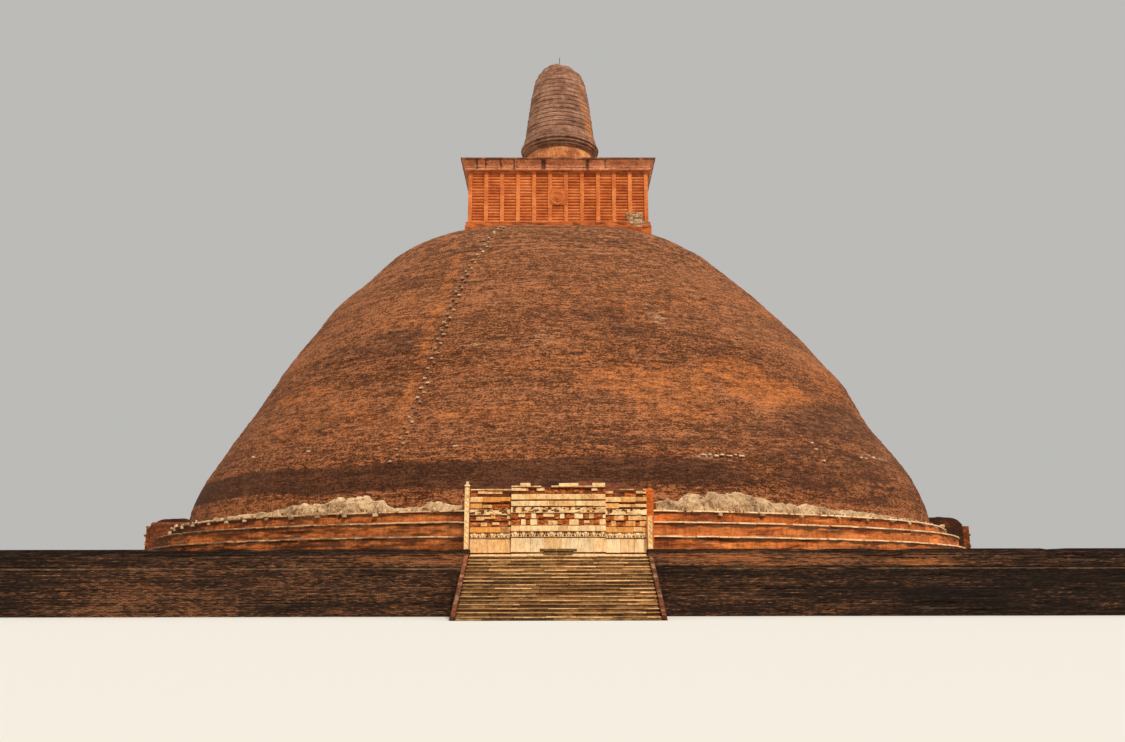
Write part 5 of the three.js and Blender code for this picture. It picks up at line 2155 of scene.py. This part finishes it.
@dataclass
class RetainingWall:
    """One side of the terrace's dark brick wall with its ledge and broken top."""

    side: str
    row: float = 0.072
    step: float = 0.45
    thickness: float = 1.18
    # X where the wall starts beside the stair, and foot, top and reach of its ledge.
    start: float = 4.75
    ledge: tuple[float, float, float] = (2.37, 2.46, 0.1)
    # Place along the wall, and how dark it is above and below its ledge; the extra dark below it is painted
    # shadow.
    darker: tuple[tuple[float, float, float], ...] = (
        (-60, 0.5, 0.5), (-28, 0.6, 0.55), (-22, 0.55, 0.25), (-11, 0.3, 0.35), (-6, 0.1, 0.4), (6, 0, 0.45),
        (13, 0, 0.5), (21, 0.25, 0.75), (28, 0.55, 0.75), (60, 0.4, 0.5))

    def __post_init__(self) -> None:
        """Reads the wall's sizes from the frame."""
        low, high = real_box("retaining_wall_front")
        self.face, self.top = -low[1] - self.ledge[2], high[2]
        self.paved = real_box("platform_fill")[1][2]
        self.flight = real_box("stair_front")[1][0]
        self.noise = Noise(120 + SIDES.index(self.side))

    def build(self, finish: Material) -> None:
        """Makes both lengths of the wall and the low part behind the stair.

        Args:
            finish: the wall's material.
        """
        part = Piece("wall")
        for hand in (-1, 1):
            self.length(part, hand)
        self.sill(part)
        part.make_at(self.side, [finish], "terrace_brick", f"retaining_wall_{self.side}", "brickwork")

    def length(self, part: Piece, hand: int) -> None:
        """Makes the wall from the stair to one corner, mitred there.

        Args:
            part: the piece that gets it.
            hand: -1 for the left length and 1 for the right one.
        """
        start, (shelf, shelf_top, _) = self.start, self.ledge
        columns = round((self.face - start) / self.step) + 1
        share = np.linspace(0, 1, columns)
        extra = (shelf - 0.01, shelf, shelf_top, shelf_top + 0.01, self.top)
        levels = np.unique(np.round([*np.arange(0, self.top, self.row), *extra], 3))
        rows = seeded(121).uniform(-0.02, 0.02, len(levels))[:, None]
        x = hand * (start + share * (self.face - start))
        clean = straight(self.face, x, levels[:, None])
        broken = self.noise(clean * [1, 1, 0], (2.2, 2.2, 1), 2)
        drop = self.row * np.round(2.2 * unit(broken - 0.2))
        top = np.minimum(levels[:, None], self.top - drop)
        loose = seeded(122).normal(0, 0.012, clean.shape[:2])
        out = self.face + rows + loose + 0.02 * self.noise(clean, (1.1, 1.1, 0.16), 2)
        out -= 0.07 * ease(self.noise(clean + 9, (2.6, 2.6, 0.6), 2), 0.28, 0.4)
        on_ledge = within(levels, shelf - 0.005, shelf_top + 0.005, 0.002)[:, None]
        gone = ease(self.noise(clean - 12, (3, 3, 9), 2), 0.12, 0.2)
        foot = (levels < shelf)[:, None] * 0.05
        out = np.minimum(out + foot, self.face + 0.05) + on_ledge * (1 - gone) * 0.06
        hidden = (np.abs(x) < self.flight + 0.1) & (levels[:, None] < self.top - 0.1)
        out = np.where(hidden, np.minimum(out, self.face - 0.03), out)
        places, above, below = np.array(self.darker).T
        # Below the ledge the wall is painted darker, as painted shadow of the ledge.
        upper = ease(levels, shelf_top, shelf_top + 0.2)[:, None]
        darker = upper * np.interp(x, places, above) + (1 - upper) * np.interp(x, places, below)
        tone = unit(0.5 + 0.8 * (0.35 - darker) + 0.3 * self.noise(clean, (2.4, 2.4, 0.3), 3))
        worn = unit(0.4 - darker + 0.9 * self.noise(clean + 5, (5, 5, 0.7), 3))
        edge = 0.9 * ease(levels, self.top - 0.3, self.top - 0.16)[:, None]
        stain = unit(darker + 0.6 * self.noise(clean - 30, (5, 5, 0.6), 3) + edge)
        pale = on_ledge * (1 - gone) * (0.6 + 0.35 * self.noise(clean, 1.2, 2))
        paint = coat(tone, stain * (1 - pale), worn * (1 - stain), pale)

        def place(outs: Array, along: Array, height: Array) -> Array:
            """Draws the section from the stair's side out to the mitre at the corner."""
            return straight(outs, hand * (start + along * (outs - start)), height)

        order = slice(None) if hand > 0 else slice(None, None, -1)
        part.strip(out[:, order], share[order], top[:, order], self.face - self.thickness, 0.0, place,
                   across=x[order], paint=paint[:, order])

    def sill(self, part: Piece) -> None:
        """Makes the low wall behind the stair, where the high wall is open.

        Args:
            part: the piece that gets it.
        """
        along = np.linspace(-self.start - 0.01, self.start + 0.01, 12)
        height = np.linspace(0, self.paved - 0.02, 12)
        part.strip(self.face - 0.06, along, height, self.face - self.thickness, 0.0, straight)


@dataclass
class Stair:
    """One flight of stone steps between sloping kerbs."""

    side: str
    risers: int = 17
    width: float = 9.45
    nosing: float = 0.06
    overhang: float = 0.035
    slab: Span = (0.8, 2.0)
    kerb_stones: int = 5

    def __post_init__(self) -> None:
        """Reads the flight's sizes from the frame."""
        self.wall = -real_box("retaining_wall_front")[0][1] - 0.1
        self.rise = real_box("platform_fill")[1][2] / self.risers
        self.tread = (-real_box("stair_front")[0][1] - 0.14 - self.wall) / (self.risers - 1)
        self.rng = seeded(140 + SIDES.index(self.side))

    def build(self, finish: Material, kerb: Material) -> None:
        """Lays every step from its own stones, then the kerbs and the mass below.

        Args:
            finish: the steps' material.
            kerb: the kerbs' material.
        """
        part, edges, faces = Piece("stair"), Blocks(), Blocks()
        for step in range(self.risers):
            out = self.wall + (self.risers - 1 - step) * self.tread
            foot = step * self.rise
            top = foot + self.rise
            face = out + self.overhang
            self.lay(edges, step, (top - self.nosing, top), (face - 0.45, face), True)
            face = out - 0.012
            self.lay(faces, step, (foot, top - self.nosing - 0.004), (face - 0.4, face), False)
        part.blocks(edges, self.rng, chamfer=0.014, jitter=0.008)
        part.blocks(faces, self.rng, chamfer=0.01, jitter=0.006)
        self.mass(part)
        self.kerbs(part)
        part.make_at(self.side, [finish, kerb], "stair_stone", f"stair_{self.side}", "steps")

    def lay(self, stones: Blocks, step: int, height: Span, out: Span, edge: bool) -> None:
        """Lays one row of stones across the flight.

        Args:
            stones: the stones.
            step: the step's number.
            height: the row's span in height.
            out: its span in distance out.
            edge: whether the row is a tread and not a riser.
        """
        rng, half = self.rng, self.width / 2
        place = -half
        while place < half - 0.01:
            length = min(rng.uniform(*self.slab), half - place)
            lift = rng.uniform(-0.012, 0.004) * edge
            face = out[1] + rng.uniform(-0.025, 0.012)
            tone = rng.uniform(0.3, 0.8) + 0.15 * (step > 11)
            # Risers are painted darker than the treads above them, as painted shade.
            stain = 0.5 * rng.random() if edge else 0.4 * rng.random() + 0.45
            paint = (tone, stain, 0.3 * rng.random(), rng.uniform(-0.2, 0.9) if edge else 0)
            stones.front((place + 0.004, place + length - 0.004), (height[0] + lift, height[1] + lift),
                         (out[0], face), paint)
            place += length

    def mass(self, part: Piece) -> None:
        """Fills the space below the steps.

        Args:
            part: the piece that gets it.
        """
        side = self.width / 2 - 0.03
        height = np.array([0.02, (self.risers - 1) * self.rise - 0.12])
        out = np.array([self.wall + (self.risers - 2) * self.tread - 0.1, self.wall - 0.05])
        part.strip(out[:, None], np.array([-side, side]), height, self.wall - 0.08, 0.02, straight)

    def kerbs(self, part: Piece) -> None:
        """Lays the sloping stones along both sides.

        Args:
            part: the piece that gets it.
        """
        run, climb = (self.risers - 1) * self.tread, (self.risers - 1) * self.rise
        length, count = math.hypot(run, climb), self.kerb_stones
        tilt = math.atan2(climb, run)
        cosine, sine = math.cos(tilt), math.sin(tilt)
        stones = Blocks()
        for hand in (-1, 1):
            for share in (np.arange(count) + 0.5) / count:
                centre = (hand * (self.width / 2 + 0.13), -(self.wall + run * (1 - share)),
                          climb * share + 0.14 + self.rng.uniform(-0.01, 0.01))
                stones.add(centre, (0.1, length / count / 2 - 0.008, 0.13),
                           (self.rng.uniform(0.4, 0.9), 0.15, 0, 0.3))
        turn = np.array([[1, 0, 0], [0, cosine, -sine], [0, sine, cosine]])
        turns = np.tile(turn, (2 * count, 1, 1))
        part.blocks(stones, self.rng, chamfer=0.025, jitter=0.01, turns=turns, finish=1)
        out = np.array([self.wall + run - 0.06, self.wall])
        for hand in (-1, 1):
            near, far = sorted((hand * (self.width / 2 + 0.03), hand * (self.width / 2 + 0.3)))
            part.strip(out[:, None], np.array([near, far]), np.array([0.0, climb]), self.wall - 0.05,
                       0.0, straight, paint=np.array([0.5, 0.4, 0.1, 0]), finish=1)


@dataclass
class Paving:
    """The terrace's floor of large worn slabs on its earth fill."""

    slab: float = 2.4
    thick: float = 0.12

    def build(self, finish: Material) -> None:
        """Lays the slabs between the walls and the lowest tier.

        Args:
            finish: the slabs' material.
        """
        half, top = real_box("platform_fill")[1][[0, 2]]
        inner = real_box("basal_tier_lower")[1][0] - 0.6
        rng, noise = seeded(160), Noise(161)
        slabs = Blocks()
        count = int(2 * half / self.slab)
        pitch = 2 * half / count
        for row in range(count):
            place = -half
            while place < half - 0.05:
                width = min(rng.uniform(0.7, 1.5) * pitch, half - place)
                x, y = place + width / 2, -half + (row + 0.5) * pitch
                place += width
                if math.hypot(x, y) < inner - 0.8:
                    continue
                middle = np.array([x, y, top + rng.uniform(-0.03, 0.0) - self.thick / 2])
                patch = 0.5 + 0.5 * float(noise(middle, (16, 16, 9), 3))
                tone = patch + rng.uniform(-0.22, 0.22)
                paint = (tone, 0.5 * rng.random() ** 3, 0.4 * patch, 0.5 * rng.random() ** 3)
                slabs.add(middle, (width / 2 - 0.02, pitch / 2 - 0.02, self.thick / 2), paint)
        piece = Piece("platform_paving")
        piece.blocks(slabs, rng, jitter=0.012, sharp=True)
        bed = np.linspace(-half, half, 40)
        heights = np.array([0.0, top - self.thick * 0.6])
        piece.strip(half, bed, heights, -half, 0.0, straight)
        piece.make([finish], ["platform_fill"])


@dataclass
class Studio:
    """Camera at the photograph's viewpoint, pale floor and soft light."""

    eye: tuple[float, float, float] = (0.0, -13.24, 0.16)
    rise: float = 12.69
    roll: float = 0.1
    swing: float = -0.24
    lens: float = 30.4
    sensor: float = 36.0
    sun_azimuth: float = 24.0
    sun_height: float = 48.0
    sun_power: float = 3.3
    sun_softness: float = 9.0
    sun_tint: tuple[float, float, float] = (1.0, 0.95, 0.87)
    sky: Colour = (232, 231, 228)
    sky_power: float = 0.62
    floor: float = 400.0

    def build(self, ground: Material) -> None:
        """Sets up camera, lights, floor and colour management.

        Args:
            ground: the floor's material.
        """
        scene = bpy.context.scene
        scene.view_settings.view_transform = "Standard"
        camera = bpy.data.objects.new("camera", bpy.data.cameras.new("camera"))
        camera.location = self.eye
        camera.rotation_euler = [math.radians(turn) for turn in (90 + self.rise, self.roll, self.swing)]
        camera.data.lens, camera.data.sensor_width = self.lens, self.sensor
        camera.data.clip_end = 2000
        scene.collection.objects.link(camera)
        scene.camera = camera
        lamp = bpy.data.lights.new("sun", "SUN")
        lamp.energy, lamp.angle = self.sun_power, math.radians(self.sun_softness)
        lamp.color = self.sun_tint
        sun = bpy.data.objects.new("sun", lamp)
        sun.rotation_euler = (math.radians(90 - self.sun_height), 0, math.radians(self.sun_azimuth))
        scene.collection.objects.link(sun)
        world = bpy.data.worlds.new("studio")
        world.use_nodes = True
        background = world.node_tree.nodes["Background"]
        background.inputs["Color"].default_value = linear(self.sky)
        background.inputs["Strength"].default_value = self.sky_power
        scene.world = world
        half = self.floor / 2
        mesh = bpy.data.meshes.new("studio_floor")
        corners = [(-half, -half, 0), (half, -half, 0), (half, half, 0), (-half, half, 0)]
        mesh.from_pydata(corners, [], [(0, 1, 2, 3)])
        mesh.materials.append(ground)
        floor = bpy.data.objects.new("studio_floor", mesh)
        floor.location.z = -0.0005
        scene.collection.objects.link(floor)


def main() -> None:
    """Builds everything in order."""
    logging.basicConfig(level=logging.INFO, format="%(message)s")
    for build in (build_mottle, build_brickwork, build_dust, build_ragged):
        build()
    Studio().build(STUDIO_FLOOR.build())
    limestone, paving = LIMESTONE.build(), PAVING_STONE.build()
    chamber_brick, facing_brick = CHAMBER_BRICK.build(), FACING_BRICK.build()
    spire_brick, mortar = SPIRE_BRICK.build(), MORTAR.build()
    tier_brick, wall_brick, core_brick = TIER_BRICK.build(), WALL_BRICK.build(), MASS_BRICK.build()
    altar_stone, stair_stone = ALTAR_STONE.build(), STAIR_STONE.build()
    dome = Dome()
    dome.build(DOME_BRICK.build())
    ClimbingStones().build(dome, CLIMBING_STONE.build())
    tiers = [BasalTier("lower", "middle", lightness=0.62), BasalTier("middle", "upper", lightness=0.76),
             BasalTier("upper", "dome")]
    for tier in tiers:
        tier.build(tier_brick, paving)
    Brackets().build(tiers[-1], CLIMBING_STONE.build())
    for side in ("front", "back"):
        for hand in ("left", "right"):
            MortarRemains(side, hand).build(mortar)
    RelicChamber().build(chamber_brick, mortar, CORNICE_BRICK.build())
    Spire().build(DRUM_BRICK.build(), spire_brick, ROD_METAL.build())
    for side in SIDES:
        Frontispiece(side).build(limestone, facing_brick, core_brick, altar_stone)
        RetainingWall(side).build(wall_brick)
        Stair(side).build(stair_stone, core_brick)
    Paving().build(TERRACE_STONE.build())


if __name__ == "__main__":
    main()
